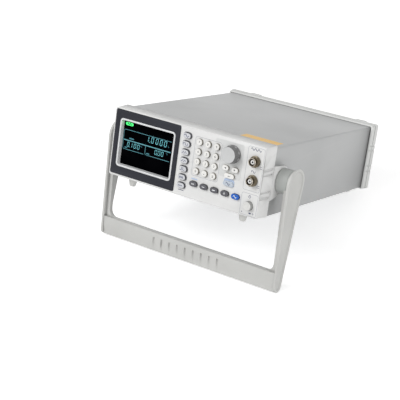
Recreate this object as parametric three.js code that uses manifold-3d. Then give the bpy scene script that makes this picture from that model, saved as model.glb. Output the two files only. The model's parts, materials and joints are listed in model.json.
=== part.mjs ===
import * as THREE from 'three';
import { mergeVertices } from 'three/addons/utils/BufferGeometryUtils.js';
import Module from 'manifold-3d';

// Bench function generator on its carrying handle. Millimetres, +Z up.
// Every piece is drawn in the case's own frame: x to the right, y from the front face to the
// back, z up, with the origin at the middle of the front face's lower edge. The finished
// instrument is then leaned back until it stands on the handle's crossbar and its rear feet.

const wasm = await Module();
wasm.setup();

// Shared fits
const clearance = 0.3;
const overrun = 4;
const weldDistance = 0.0001;
const sides = { left: -1, right: 1 };

// Case proportions. The front layout follows the bezel's width and height as shares.
const bezel = {
  width: 219, height: 85.2, depth: 22, wall: 2.5, corner: 2.4, edge: 0.8, drop: 1.2, rise: 1.1,
  flare: 1.1, roof: 1.4, lining: 2.2, boardRoom: 12.5, seatStart: 15, hollowCorner: 0.9, skirt: 8,
  skirtWall: 2.2,
};
const cover = { sheet: 1, bend: 2.6, inset: 0.3, floorGap: 0.3 };
const depths = { case: 277.6, rearBezel: 13 };
const groove = {
  height: 2.4, depth: 1, front: 0.6, backMargin: 2, rowShares: [0.683, 0.608, 0.365, 0.278],
};
const ear = { thickness: 3.2, proud: 0.9, radius: 17.5, top: 61.3, bottom: 19.5, rootOverlap: 1 };
const pivot = { y: 40.8, z: 42.5, startDegrees: -78, endDegrees: 98 };

// Display
const panel = {
  sideMargin: 2, bottomMargin: 2.6, topMargin: 1.3, rightShare: -0.0452, thickness: 0.8, corner: 2,
};
const display = {
  leftShare: -0.4571, rightShare: -0.0753, bottomShare: 0.1526, topShare: 0.8662,
  corner: 4.4, rim: 2.2, proud: 0.5, depth: 5.2, bevel: 0.5, flange: 2, flangeThickness: 1.2,
};

// Keys. Each one is a cap through the front wall, a flange behind it and a plunger.
const keyFit = { flange: 0.7, flangeThickness: 0.8, plunger: 3.6, travel: 1, edge: 0.5, edgeStep: 0.45 };
const functionKey = {
  width: 11, height: 6.5, proud: 2.8, count: 7, columnShare: 0.005, topShare: 0.8768,
  bottomShare: 0.1585,
};
const digitKey = {
  size: 7.7, proud: 2.6, columnShares: [0.09, 0.1457, 0.2014], rowShares: [0.8333, 0.6948, 0.5563, 0.4178],
  names: [['7', '8', '9'], ['4', '5', '6'], ['1', '2', '3']], bottomNames: ['digit_0', 'point', 'sign'],
};
const arrowKey = { width: 9.1, height: 6.1, proud: 2.6, columnShares: [0.2731, 0.3329], rowShare: 0.588 };
const wideKey = {
  width: 14, height: 6, proud: 2.4, columnShare: 0.3023, enterShare: 0.4871, outputShare: 0.3779,
};
const modeKey = {
  width: 11, height: 6.3, proud: 2.6, count: 5, firstShare: 0.0836, pitchShare: 0.0684, rowShare: 0.23,
};

// Knob and encoder
const knob = {
  columnShare: 0.3009, rowShare: 0.7934, radius: 11, faceRadius: 9.6, length: 10.8, gap: 0.4,
  shoulder: 1.4, topEdge: 0.5, base: 1.6, flutes: 8, fluteDepth: 0.8, wall: 2.8, hubWall: 2, faceWall: 2.4,
};
const encoder = {
  body: 12, corner: 0.5, bushing: 3.6, bushingProud: 4, bushingRoot: 0.8, shaft: 2.6, shaftSeat: 1.9,
};

// Jacks on the front and the back, and the power button
const jack = {
  sideMargin: 12.2, outputShare: 0.7805, syncShare: 0.5141, proud: 8.3, barrel: 4.8, barrelBore: 4.05,
  boreDepth: 8, insulator: 2.35, insulatorSet: 1.6, socket: 0.9, socketDepth: 5, collar: 0.8, nut: 13.6,
  nutThickness: 2.4, thread: 6.3, flange: 8, flangeThickness: 2, tail: 5, tailLength: 8, lug: 1,
  lugReach: 1.2, lugRoot: 0.4, lugSet: 2.6, frontSegments: 12, frontNutSides: 12, rearSegments: 8,
  rearNutSides: 6,
};
const power = {
  rowShare: 0.1596, radius: 5.35, proud: 5.5, edge: 0.7, flange: 1.1, flangeThickness: 1, stem: 2.5,
  travel: 3, seat: 1.4, switchSize: 14, switchLength: 16, switchWall: 2,
};

// Boards inside
const frontBoard = {
  set: 9.2, thickness: 1.6, sideMargin: 5.5, bottomMargin: 4, topMargin: 3.2, boss: 2.2,
  bossColumnShares: [-0.461, 0.06, 0.393], bossRowShares: [0.076, 0.933],
};
const tray = {
  flange: 12, slotCount: 9, slotWidth: 3, slotShare: 0.16, rowShares: [0.38, 0.62], firstShare: -0.36,
  lastShare: 0.36, standoff: 3, standoffHeight: 6,
};
const mainBoard = {
  leftShare: -0.09, rightShare: 0.44, frontShare: 0.24, backShare: 0.88, thickness: 1.6, standoffInset: 7,
  chipHeight: 3, chipOverlap: 0.4,
};
const powerBoard = {
  leftShare: -0.45, rightShare: -0.15, frontShare: 0.42, backShare: 0.84, transformerHeight: 34,
  canRadius: 8, canHeight: 26,
};

// Back of the case
const rearBezel = {
  overhang: 5.6, topRise: 3, bottomDrop: 1.8, corner: 2.2, edge: 0.6, lip: 5, groove: 1, sideGap: 2.2,
  sideGapDepth: 1.6, rim: 3.2, openingCorner: 3,
};
const rearPost = {
  centreShare: 0.3826, width: 21, height: 14, corner: 3, inset: 1.5, root: 5, reach: 15.4,
  taper: 0.5, edge: 1,
};
const rearFoot = {
  centreShare: 0.384, width: 20, taper: 2.6, height: 10, frontMargin: 1, backMargin: 1, rootOverlap: 1,
};
const frontFoot = {
  centreShare: 0.375, size: 11.2, tipSize: 7, corner: 4.2, tipCorner: 2.8, edge: 0.6, height: 10.7, y: 16.3,
};
const rearPanel = { thickness: 1.2 };
const fan = {
  columnShare: 0.09, rowShare: 0.5, size: 50, thickness: 12, rim: 2, hub: 9.5, hubWall: 1.6, shaft: 2,
  strut: 3, strutThickness: 2, strutCount: 3, bladeCount: 7, bladeThickness: 1.2, bladeLean: 5,
  tipGap: 1.2, slotWidth: 3, slotPitch: 5, base: 2.5,
};
const inlet = {
  columnShare: -0.36, rowShare: 0.31, width: 27, height: 20, corner: 3, ear: 11, flangeHeight: 23,
  flangeCorner: 7.6, flangeThickness: 2, depth: 17, cavityWidth: 24, cavityHeight: 17,
  cavityCorner: 4, cavityDepth: 14.5, pinWidth: 2, pinHeight: 4, pinCorner: 0.5, pinLength: 12,
  pinSpread: 7, earthRise: 2.6, lineDrop: 1.4, screwHole: 1.7,
};
const usb = {
  columnShare: 0.39, rowShare: 0.31, width: 12, height: 11, proud: 1.2, length: 15, wall: 1.3, tongue: 5.6,
  tongueHeight: 3.2, tongueLength: 8, cavityDepth: 10,
};
const rearJack = { columnShares: [0.31, 0.41], rowShare: 0.66 };

// Carrying handle: two arms and a crossbar
const handle = {
  reach: 18.3, plate: 3.2, topRadius: 18.3, tipRadius: 7.5, tipSetback: 5.5, armDrop: 126.1, edge: 0.6,
  rimWidth: 3, dish: 1.1, dishSlope: 1, plateOverlap: 0.4, draft: 1.6, topSteps: 13, tipSteps: 6,
};
const rib = { thickness: 5.4, depth: 5.6, setback: 4.7, fillet: 10 };
const bar = {
  frontTop: 28, top: -66, frontBottom: 31.5, bottomDegrees: 239, backDegrees: 330, wall: 2.6, bulge: 1,
  shelf: 38, webCount: 7, web: 2,
};
const grip = { count: 9, pitch: 12.1, width: 3.4, depth: 1, top: -72, bottom: -89 };
const drum = { radius: 15.1, gap: 1, edge: 0.5, cup: 6, cap: 3.2 };
const boss = { neck: 13, spigot: 7, foot: 6 };

// Sizes that follow from the values above
const bezelBack = bezel.width / 2 + bezel.flare;
const halfCase = bezelBack - cover.inset;
const caseTop = bezel.height - bezel.roof - clearance;
const caseBottom = cover.floorGap + clearance;
const caseFront = bezel.depth + clearance;
const earFace = bezelBack + ear.proud;
const earInner = earFace - ear.thickness;
const skirtHalf = halfCase - cover.sheet - clearance;
const skirtTop = caseTop - cover.sheet - clearance;
const wallBack = bezel.wall + clearance;
const rearFace = depths.case - depths.rearBezel;
const caseBack = rearFace + rearBezel.lip / 2;
const panelFront = caseBack + clearance;
const panelBack = panelFront + rearPanel.thickness;
const boardFront = frontBoard.set;
const boardBack = boardFront + frontBoard.thickness;
const plungerEnd = boardFront - keyFit.travel - clearance;
const lipEnd = rearFace + rearBezel.lip;
const knobAt = { x: across(knob.columnShare), z: up(knob.rowShare) };
const jackColumn = bezel.width / 2 - jack.sideMargin;
const powerAt = { x: jackColumn, z: up(power.rowShare) };
const fanBore = fan.size / 2 - fan.rim;
const fanAt = { x: across(fan.columnShare), z: up(fan.rowShare) };
const inletAt = { x: across(inlet.columnShare), z: up(inlet.rowShare) };
const usbAt = { x: across(usb.columnShare), z: up(usb.rowShare) };
const trayTop = caseBottom + cover.sheet;
const boardBottom = trayTop + tray.standoffHeight + clearance;
const plateInner = earFace + handle.reach;
const plateFace = plateInner + handle.plate;
const frontJacks = [
  { name: 'bnc_output', x: jackColumn, z: up(jack.outputShare) },
  { name: 'bnc_sync', x: jackColumn, z: up(jack.syncShare) },
];
const rearJacks = rearJack.columnShares.map((share, i) => ({
  name: `bnc_rear_${i + 1}`, x: across(share), z: up(rearJack.rowShare),
}));

// Finishes
const finishes = {
  bezel: [0xe9e9e8, 0.55, 0], panel: [0x32363e, 0.4, 0], frame: [0xe4e5e7, 0.35, 0.1],
  screen: [0x08090b, 0.15, 0], board: [0x1f5a3a, 0.6, 0], keyGrey: [0xd9dadb, 0.5, 0],
  keyWhite: [0xf0f0ef, 0.5, 0], keyDark: [0x5c5c62, 0.5, 0], keyBlue: [0x1a5cbe, 0.45, 0],
  keyOutput: [0xbcd6ea, 0.3, 0], knob: [0xa9aaac, 0.5, 0], metal: [0xb9b6ad, 0.3, 1],
  nickel: [0xc2beb4, 0.25, 1], sheet: [0xb2b4b5, 0.5, 0.1], steel: [0xa7a9ab, 0.4, 0.8],
  moulding: [0xb9bbb9, 0.55, 0], handle: [0xc8c8c5, 0.55, 0], drum: [0xa0a5a2, 0.6, 0],
  foot: [0xcdcdc9, 0.8, 0], black: [0x1b1c1e, 0.6, 0], button: [0xe6e6e4, 0.45, 0],
};

// Places on the front, from shares of the bezel's width (from the middle) and height.
function across(share) {
  return share * bezel.width;
}

function up(share) {
  return share * bezel.height;
}

// Outlines are lists of points, anticlockwise.
function arcPoints(x, y, radius, startDegrees, endDegrees, steps) {
  return Array.from({ length: steps + 1 }, (_, i) => {
    const angle = THREE.MathUtils.degToRad(startDegrees + ((endDegrees - startDegrees) * i) / steps);
    return new THREE.Vector2(x + radius * Math.cos(angle), y + radius * Math.sin(angle));
  });
}

function circlePoints(x, y, radius, steps) {
  return arcPoints(x, y, radius, 0, 360, steps).slice(0, -1);
}

// A rectangle with round corners; a corner of half the height makes a pill.
function roundedOutline(x, y, width, height, corner, steps = 3) {
  const reachX = width / 2 - corner;
  const reachY = height / 2 - corner;
  const corners = [[1, 1], [-1, 1], [-1, -1], [1, -1]];
  const points = corners.flatMap(([signX, signY], i) =>
    arcPoints(x + signX * reachX, y + signY * reachY, corner, i * 90, (i + 1) * 90, steps));
  return points.filter((point, i) => point.distanceTo(points.at(i - 1)) > weldDistance);
}

// The same, given by its four edges.
function spanOutline(left, right, bottom, top, corner, steps) {
  const x = (left + right) / 2;
  const y = (bottom + top) / 2;
  return roundedOutline(x, y, right - left, top - bottom, corner, steps);
}

function boxOutline(left, right, bottom, top) {
  const corners = [[left, bottom], [right, bottom], [right, top], [left, top]];
  return corners.map(([x, y]) => new THREE.Vector2(x, y));
}

// Rings of points for a loft, square to one axis.
function ringY(outline, y) {
  return outline.map((point) => new THREE.Vector3(point.x, y, point.y));
}

function ringX(outline, x) {
  return outline.map((point) => new THREE.Vector3(x, point.x, point.y));
}

// Skins a row of rings with equal point counts and closes both ends.
// The last ring is the one whose outline runs anticlockwise when it is looked at.
function loft(rings) {
  const count = rings[0].length;
  const vertices = rings.flat();
  const faces = [];
  for (let ring = 0; ring < rings.length - 1; ring++) {
    for (let i = 0; i < count; i++) {
      const a = ring * count + i;
      const b = ring * count + ((i + 1) % count);
      faces.push(a, b, a + count, b, b + count, a + count);
    }
  }
  const lastStart = (rings.length - 1) * count;
  const firstCentre = vertices.push(middleOf(rings[0])) - 1;
  const lastCentre = vertices.push(middleOf(rings.at(-1))) - 1;
  for (let i = 0; i < count; i++) {
    const next = (i + 1) % count;
    faces.push(next, i, firstCentre, lastStart + i, lastStart + next, lastCentre);
  }
  const geometry = new THREE.BufferGeometry().setFromPoints(vertices);
  geometry.setIndex(faces);
  return geometry;
}

function middleOf(points) {
  const sum = points.reduce((total, point) => total.add(point), new THREE.Vector3());
  return sum.divideScalar(points.length);
}

// Straight extrusions of an outline along each axis.
function extrude(outline, from, to, holes) {
  const shape = new THREE.Shape(outline);
  shape.holes = holes.map((hole) => new THREE.Path(hole));
  return new THREE.ExtrudeGeometry(shape, { depth: Math.abs(to - from), bevelEnabled: false });
}

function extrudeY(outline, from, to, holes = []) {
  return extrude(outline, from, to, holes).rotateX(Math.PI / 2).translate(0, Math.max(from, to), 0);
}

function extrudeX(outline, from, to, holes = []) {
  const turn = new THREE.Matrix4().makeBasis(
    new THREE.Vector3(0, 1, 0), new THREE.Vector3(0, 0, 1), new THREE.Vector3(1, 0, 0));
  return extrude(outline, from, to, holes).applyMatrix4(turn).translate(Math.min(from, to), 0, 0);
}

function extrudeZ(outline, from, to, holes = []) {
  return extrude(outline, from, to, holes).translate(0, 0, Math.min(from, to));
}

// A turned piece about the y axis. The profile is [radius, y] and goes from the axis, out, and back.
function turned(profile, x, z, segments = 20) {
  const points = profile.map(([radius, y]) => new THREE.Vector2(radius, y));
  return new THREE.LatheGeometry(points, segments).translate(x, 0, z);
}

// A turned piece about the handle's pivot. The profile is [radius, distance from the middle plane].
function turnedAtPivot(profile, side, segments = 20) {
  const points = profile.map(([radius, x]) => new THREE.Vector2(radius, x));
  const turn = new THREE.LatheGeometry(points, segments).rotateZ(-Math.PI / 2);
  if (side < 0) turn.rotateZ(Math.PI);
  return turn.translate(0, pivot.y, pivot.z);
}

// Slides every point along y in step with its height above z.
function lean(geometry, slope, z) {
  return geometry.applyMatrix4(new THREE.Matrix4().set(
    1, 0, 0, 0,
    0, 1, slope, -slope * z,
    0, 0, 1, 0,
    0, 0, 0, 1));
}

// Slides every point along x in step with its y.
function flare(geometry, slope) {
  return geometry.applyMatrix4(new THREE.Matrix4().set(
    1, slope, 0, 0,
    0, 1, 0, 0,
    0, 0, 1, 0,
    0, 0, 0, 1));
}

// Joining and cutting
function solid(geometry) {
  const bare = geometry.clone();
  bare.deleteAttribute('normal');
  bare.deleteAttribute('uv');
  const merged = mergeVertices(bare, weldDistance);
  return new wasm.Manifold(new wasm.Mesh({
    numProp: 3,
    vertProperties: Float32Array.from(merged.attributes.position.array),
    triVerts: Uint32Array.from(merged.index.array),
  }));
}

function join(geometries) {
  return geometries.map(solid).reduce((whole, next) => whole.add(next));
}

function cut(body, cutters) {
  return cutters.map(solid).reduce((rest, cutter) => rest.subtract(cutter), body);
}

function geometryOf(body) {
  const mesh = body.getMesh();
  const geometry = new THREE.BufferGeometry();
  geometry.setAttribute('position', new THREE.BufferAttribute(mesh.vertProperties, 3));
  geometry.setIndex(new THREE.BufferAttribute(mesh.triVerts, 1));
  return geometry;
}

const instrument = new THREE.Group();

function addPiece(name, body, finish, parent = instrument) {
  const geometry = body.isBufferGeometry ? geometryOf(solid(body)) : geometryOf(body);
  geometry.computeVertexNormals();
  const [color, roughness, metalness] = finishes[finish];
  const mesh = new THREE.Mesh(geometry, new THREE.MeshStandardMaterial({ color, roughness, metalness }));
  mesh.name = name;
  parent.add(mesh);
}

// Keys: name, middle, size and height above the face
function keyList() {
  const keys = [];
  const functionStep = (functionKey.topShare - functionKey.bottomShare) / (functionKey.count - 1);
  for (let i = 0; i < functionKey.count; i++) {
    const z = up(functionKey.topShare - i * functionStep);
    const x = across(functionKey.columnShare);
    keys.push({ name: `function_${i + 1}`, x, z, ...functionKey, finish: 'keyGrey' });
  }
  const upperNames = digitKey.names.map((row) => row.map((digit) => `digit_${digit}`));
  [...upperNames, digitKey.bottomNames].forEach((row, i) => row.forEach((name, j) => {
    const x = across(digitKey.columnShares[j]);
    const z = up(digitKey.rowShares[i]);
    const { size, proud } = digitKey;
    keys.push({ name, x, z, width: size, height: size, proud, finish: 'keyWhite' });
  }));
  ['arrow_left', 'arrow_right'].forEach((name, i) => {
    const x = across(arrowKey.columnShares[i]);
    keys.push({ name, x, z: up(arrowKey.rowShare), ...arrowKey, finish: 'keyWhite' });
  });
  const wideX = across(wideKey.columnShare);
  keys.push({ name: 'enter', x: wideX, z: up(wideKey.enterShare), ...wideKey, finish: 'keyWhite' });
  keys.push({ name: 'output', x: wideX, z: up(wideKey.outputShare), ...wideKey, finish: 'keyOutput' });
  for (let i = 0; i < modeKey.count; i++) {
    const x = across(modeKey.firstShare + i * modeKey.pitchShare);
    const finish = i === modeKey.count - 1 ? 'keyBlue' : 'keyDark';
    keys.push({ name: `mode_${i + 1}`, x, z: up(modeKey.rowShare), ...modeKey, finish });
  }
  return keys;
}

const keys = keyList();

function keyOutline(key, growth) {
  const width = key.width + 2 * growth;
  const height = key.height + 2 * growth;
  const steps = key.width > key.height ? 2 : 3;
  return roundedOutline(key.x, key.z, width, height, height / 2, steps);
}

function keyCap(key) {
  const flangeBack = wallBack + keyFit.flangeThickness;
  const cap = loft([
    ringY(keyOutline(key, keyFit.flange), flangeBack),
    ringY(keyOutline(key, keyFit.flange), wallBack),
    ringY(keyOutline(key, 0), wallBack),
    ringY(keyOutline(key, 0), keyFit.edge - key.proud),
    ringY(keyOutline(key, -keyFit.edgeStep), -key.proud),
  ]);
  const half = keyFit.plunger / 2;
  const plunger = extrudeY(
    boxOutline(key.x - half, key.x + half, key.z - half, key.z + half), flangeBack - keyFit.edge, plungerEnd);
  return join([cap, plunger]);
}

// Front bezel: a moulded shell that widens to the back, with every opening of the front wall and
// a skirt that the sheet cover slides over. On each side the band between the inner grooves runs
// out into the tongue that carries the handle.
function bezelOutline(halfWidth, bottom, top, inset, corner = bezel.corner) {
  return spanOutline(inset - halfWidth, halfWidth - inset, bottom + inset, top - inset, corner - inset);
}

function bezelUnderside(y) {
  return (-bezel.drop * (y - bezel.edge)) / (bezel.depth - bezel.edge);
}

function displayOutline(growth) {
  const left = across(display.leftShare) - growth;
  const right = across(display.rightShare) + growth;
  const bottom = up(display.bottomShare) - growth;
  return spanOutline(left, right, bottom, up(display.topShare) + growth, display.corner + growth);
}

function panelOutline(growth) {
  const left = -bezel.width / 2 + panel.sideMargin - growth;
  const right = across(panel.rightShare) + growth;
  const bottom = panel.bottomMargin - growth;
  return spanOutline(left, right, bottom, bezel.height - panel.topMargin + growth, panel.corner, 2);
}

function bezelShell() {
  const front = bezel.width / 2;
  const { lining, skirtWall, hollowCorner } = bezel;
  const outer = loft([
    ringY(bezelOutline(bezelBack, -bezel.drop, bezel.height + bezel.rise, 0), bezel.depth),
    ringY(bezelOutline(front, 0, bezel.height, 0), bezel.edge),
    ringY(bezelOutline(front, 0, bezel.height, bezel.edge), 0),
  ]);
  const rearHollow = bezelOutline(skirtHalf - skirtWall, lining, skirtTop - skirtWall, 0, hollowCorner);
  const frontHollow = bezelOutline(front - lining, lining, bezel.height - lining, 0, hollowCorner);
  const hollow = loft([
    ringY(rearHollow, bezel.depth + bezel.skirt + overrun),
    ringY(rearHollow, bezel.seatStart),
    ringY(frontHollow, bezel.boardRoom),
    ringY(frontHollow, bezel.wall),
  ]);
  return join([outer, sideBand(), skirt()]).subtract(solid(hollow));
}

function sideBand() {
  const [, top, bottom] = groove.rowShares.map(up);
  const front = bezel.width / 2;
  return loft([
    ringY(boxOutline(-earFace, earFace, bottom, top), bezel.depth),
    ringY(boxOutline(-front, front, bottom, top), bezel.edge),
  ]);
}

function skirt() {
  const bottom = caseBottom + tray.flange + cover.sheet;
  const outline = spanOutline(-skirtHalf, skirtHalf, bottom, skirtTop, cover.bend - cover.sheet);
  return extrudeY(outline, bezel.seatStart, bezel.depth + bezel.skirt);
}

function earOutline(growth) {
  const root = bezel.depth - ear.rootOverlap;
  const round = arcPoints(pivot.y, pivot.z, ear.radius + growth, pivot.startDegrees, pivot.endDegrees, 10);
  return [...round, new THREE.Vector2(root, ear.top + growth), new THREE.Vector2(root, ear.bottom - growth)];
}

function ears() {
  const hole = circlePoints(pivot.y, pivot.z, boss.foot + clearance, 12);
  return Object.values(sides).map((side) => extrudeX(earOutline(0), side * earInner, side * earFace, [hole]));
}

function boardPosts() {
  const end = boardFront - clearance;
  return frontBoard.bossColumnShares.flatMap((column) => frontBoard.bossRowShares.map((row) => {
    const outline = circlePoints(across(column), up(row), frontBoard.boss, 6);
    return extrudeY(outline, bezel.wall / 2, end);
  }));
}

function sideGrooves() {
  const back = bezel.depth - groove.backMargin;
  const floor = bezel.width / 2 - groove.depth;
  const slope = bezel.flare / (bezel.depth - bezel.edge);
  return Object.values(sides).flatMap((side) => groove.rowShares.map((share) => {
    const z = up(share);
    const half = groove.height / 2;
    const outline = spanOutline(groove.front, back, z - half, z + half, half, 1);
    return flare(extrudeX(outline, side * floor, side * (floor + overrun)), side * slope);
  }));
}

function wallOpenings() {
  const through = (outline) => extrudeY(outline, -overrun, bezel.wall + overrun);
  const round = (at, radius) => through(circlePoints(at.x, at.z, radius + clearance, 16));
  return [
    extrudeY(panelOutline(clearance), -overrun, panel.thickness + clearance),
    through(displayOutline(clearance)),
    ...keys.map((key) => through(keyOutline(key, clearance))),
    ...frontJacks.map((at) => round(at, jack.thread)),
    round(knobAt, encoder.bushing),
    round(powerAt, power.radius),
  ];
}

function frontBezel() {
  const body = [...ears(), ...boardPosts()].map(solid).reduce((whole, next) => whole.add(next), bezelShell());
  return cut(body, [...wallOpenings(), ...sideGrooves()]);
}

function displayPanel() {
  return extrudeY(panelOutline(0), 0, panel.thickness, [displayOutline(clearance)]);
}

// Display frame: a deep window with a flange that holds it behind the front wall.
function displayFrame() {
  const back = display.depth - display.proud;
  const flangeBack = wallBack + display.flangeThickness;
  const body = loft([
    ringY(displayOutline(0), back),
    ringY(displayOutline(0), flangeBack),
    ringY(displayOutline(display.flange), flangeBack),
    ringY(displayOutline(display.flange), wallBack),
    ringY(displayOutline(0), wallBack),
    ringY(displayOutline(0), display.bevel - display.proud),
    ringY(displayOutline(-display.bevel), -display.proud),
  ]);
  const window = loft([
    ringY(displayOutline(-display.rim), display.depth + overrun),
    ringY(displayOutline(-display.rim), display.bevel - display.proud),
    ringY(displayOutline(display.bevel - display.rim), -display.proud),
    ringY(displayOutline(display.bevel - display.rim), -overrun),
  ]);
  return cut(solid(body), [window]);
}

function lcdModule() {
  const front = display.depth - display.proud + clearance;
  return extrudeY(displayOutline(display.flange), front, boardFront - clearance);
}

// Front board, with the key contacts printed on its face and openings for the jacks' tails.
function frontBoardBody() {
  const reach = bezel.width / 2 - frontBoard.sideMargin;
  const top = bezel.height - frontBoard.topMargin;
  const outline = boxOutline(-reach, reach, frontBoard.bottomMargin, top);
  const holes = frontJacks.map((at) => circlePoints(at.x, at.z, jack.tail + clearance, 12));
  holes.push(circlePoints(powerAt.x, powerAt.z, power.stem + clearance, 12));
  return extrudeY(outline, boardFront, boardBack, holes);
}

// Knob: finger flutes above a round base, and a hollow back.
function flutedRing(radius, y, depth) {
  const pointsPerFlute = 4;
  const steps = knob.flutes * pointsPerFlute;
  return Array.from({ length: steps }, (_, i) => {
    const angle = (i / steps) * Math.PI * 2;
    const reach = radius - (depth * (1 - Math.cos(angle * knob.flutes))) / 2;
    return new THREE.Vector3(knobAt.x + reach * Math.cos(angle), y, knobAt.z + reach * Math.sin(angle));
  });
}

function knobBody() {
  const back = -knob.gap;
  const front = -knob.length;
  const shoulder = front + knob.shoulder;
  const body = loft([
    flutedRing(knob.radius, back, 0),
    flutedRing(knob.radius, back - knob.base, 0),
    flutedRing(knob.faceRadius + knob.topEdge, shoulder, knob.fluteDepth),
    flutedRing(knob.faceRadius, front + knob.topEdge, knob.fluteDepth),
    flutedRing(knob.faceRadius - knob.topEdge, front, 0),
  ]);
  const boreEnd = front + knob.faceWall;
  const bushingEnd = -encoder.bushingProud - clearance;
  const bushingBore = encoder.bushing + clearance;
  const shaftBore = encoder.shaft + clearance;
  const bore = turned([
    [0, boreEnd], [shaftBore, boreEnd], [shaftBore, bushingEnd], [bushingBore, bushingEnd],
    [bushingBore, overrun], [0, overrun],
  ], knobAt.x, knobAt.z, 16);
  const hub = bushingBore + knob.hubWall;
  const hollow = extrudeY(
    circlePoints(knobAt.x, knobAt.z, knob.faceRadius - knob.wall, 20), boreEnd, overrun,
    [circlePoints(knobAt.x, knobAt.z, hub, 16)]);
  return cut(solid(body), [bore, hollow]);
}

// Encoder body behind the wall, with the bushing that the shaft turns in.
function encoderBody() {
  const back = boardFront - clearance;
  const front = -encoder.bushingProud;
  const { x, z } = knobAt;
  const outline = roundedOutline(x, z, encoder.body, encoder.body, encoder.corner, 1);
  const bushing = extrudeY(circlePoints(x, z, encoder.bushing, 16), front, wallBack + encoder.bushingRoot);
  const boreOutline = circlePoints(x, z, encoder.shaft + clearance, 16);
  const bore = extrudeY(boreOutline, front - overrun, back - encoder.shaftSeat);
  return cut(join([extrudeY(outline, wallBack, back), bushing]), [bore]);
}

function encoderShaft() {
  const front = knob.faceWall + clearance - knob.length;
  const back = boardFront - encoder.shaftSeat - 2 * clearance;
  return extrudeY(circlePoints(knobAt.x, knobAt.z, encoder.shaft, 16), front, back);
}

// Coaxial jack: nut and barrel in front of the wall, thread through it, flange and tail behind.
function jackBody(at, segments, nutSides) {
  const front = -jack.proud;
  const nutBack = -clearance;
  const nutFront = nutBack - jack.nutThickness;
  const insulatorFront = front + jack.insulatorSet;
  const flangeBack = wallBack + jack.flangeThickness;
  const body = turned([
    [0, insulatorFront + jack.socketDepth], [jack.socket, insulatorFront + jack.socketDepth],
    [jack.socket, insulatorFront], [jack.insulator, insulatorFront],
    [jack.insulator, front + jack.boreDepth], [jack.barrelBore, front + jack.boreDepth],
    [jack.barrelBore, front], [jack.barrel, front], [jack.barrel, nutFront - jack.collar],
    [jack.thread, nutFront - jack.collar], [jack.thread, wallBack],
    [jack.flange, wallBack], [jack.flange, flangeBack], [jack.tail, flangeBack],
    [jack.tail, flangeBack + jack.tailLength], [0, flangeBack + jack.tailLength],
  ], 0, 0, segments);
  const nutRadius = jack.nut / 2 / Math.cos(Math.PI / nutSides);
  const nut = extrudeY(circlePoints(0, 0, nutRadius, nutSides), nutFront, nutBack);
  const lugAxis = front + jack.lugSet;
  const lugReach = jack.barrel + jack.lugReach;
  const lugs = Object.values(sides).map((side) => extrudeZ(
    circlePoints(0, lugAxis, jack.lug, 6), side * lugReach, side * (jack.barrel - jack.lugRoot)));
  return geometryOf(join([body, nut, ...lugs])).translate(at.x, 0, at.z);
}

function addJacks() {
  frontJacks.forEach((at) => {
    addPiece(at.name, jackBody(at, jack.frontSegments, jack.frontNutSides), 'metal');
  });
  rearJacks.forEach((at) => {
    const turnedRound = jackBody({ x: 0, z: 0 }, jack.rearSegments, jack.rearNutSides).rotateZ(Math.PI);
    addPiece(at.name, turnedRound.translate(at.x, panelBack, at.z), 'metal');
  });
}

// Power button and the switch body behind the board.
function powerButton() {
  const flangeRadius = power.radius + power.flange;
  const flangeBack = wallBack + power.flangeThickness;
  const end = boardBack + power.seat;
  return turned([
    [0, -power.proud], [power.radius - power.edge, -power.proud], [power.radius, power.edge - power.proud],
    [power.radius, wallBack], [flangeRadius, wallBack], [flangeRadius, flangeBack],
    [power.stem, flangeBack], [power.stem, end], [0, end],
  ], powerAt.x, powerAt.z, 16);
}

function powerSwitch() {
  const front = boardBack + clearance;
  const boreEnd = boardBack + power.seat + power.travel + clearance;
  const corner = power.switchWall / 2;
  const outline = roundedOutline(powerAt.x, powerAt.z, power.switchSize, power.switchSize, corner, 1);
  const bore = circlePoints(powerAt.x, powerAt.z, power.stem + clearance, 12);
  const body = solid(extrudeY(outline, front, front + power.switchLength));
  return cut(body, [extrudeY(bore, front - overrun, boreEnd)]);
}

// Top cover: one sheet folded down both sides, notched for the bezel's tongues.
function topCover() {
  const outer = arcPoints(halfCase - cover.bend, caseTop - cover.bend, cover.bend, 0, 90, 3);
  const inner = arcPoints(halfCase - cover.bend, caseTop - cover.bend, cover.bend - cover.sheet, 90, 0, 3);
  const mirrored = (points) => points.map((point) => new THREE.Vector2(-point.x, point.y)).reverse();
  const foot = caseBottom;
  const outline = [
    new THREE.Vector2(halfCase, foot), ...outer, ...mirrored(outer), new THREE.Vector2(-halfCase, foot),
    new THREE.Vector2(cover.sheet - halfCase, foot), ...mirrored(inner), ...inner,
    new THREE.Vector2(halfCase - cover.sheet, foot),
  ];
  const notches = Object.values(sides).map((side) => extrudeX(
    earOutline(clearance), side * (halfCase - cover.sheet - overrun), side * (halfCase + overrun)));
  return cut(solid(extrudeY(outline, caseFront, caseBack)), notches);
}

// Bottom tray: floor with upturned sides, cooling slots and the posts that carry the boards.
function trayOutline() {
  const inner = skirtHalf - cover.sheet;
  const top = caseBottom + tray.flange;
  return [
    [-skirtHalf, caseBottom], [skirtHalf, caseBottom], [skirtHalf, top], [inner, top],
    [inner, trayTop], [-inner, trayTop], [-inner, top], [-skirtHalf, top],
  ].map(([x, z]) => new THREE.Vector2(x, z));
}

function traySlots() {
  const length = depths.case * tray.slotShare;
  return tray.rowShares.flatMap((rowShare) => Array.from({ length: tray.slotCount }, (_, i) => {
    const share = tray.firstShare + ((tray.lastShare - tray.firstShare) * i) / (tray.slotCount - 1);
    const x = across(share);
    const y = depths.case * rowShare;
    const half = tray.slotWidth / 2;
    const outline = boxOutline(x - half, x + half, y - length / 2, y + length / 2);
    return extrudeZ(outline, caseBottom - overrun, trayTop + overrun);
  }));
}

function boardSpan(board) {
  return {
    left: across(board.leftShare), right: across(board.rightShare),
    front: depths.case * board.frontShare, back: depths.case * board.backShare,
  };
}

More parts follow.
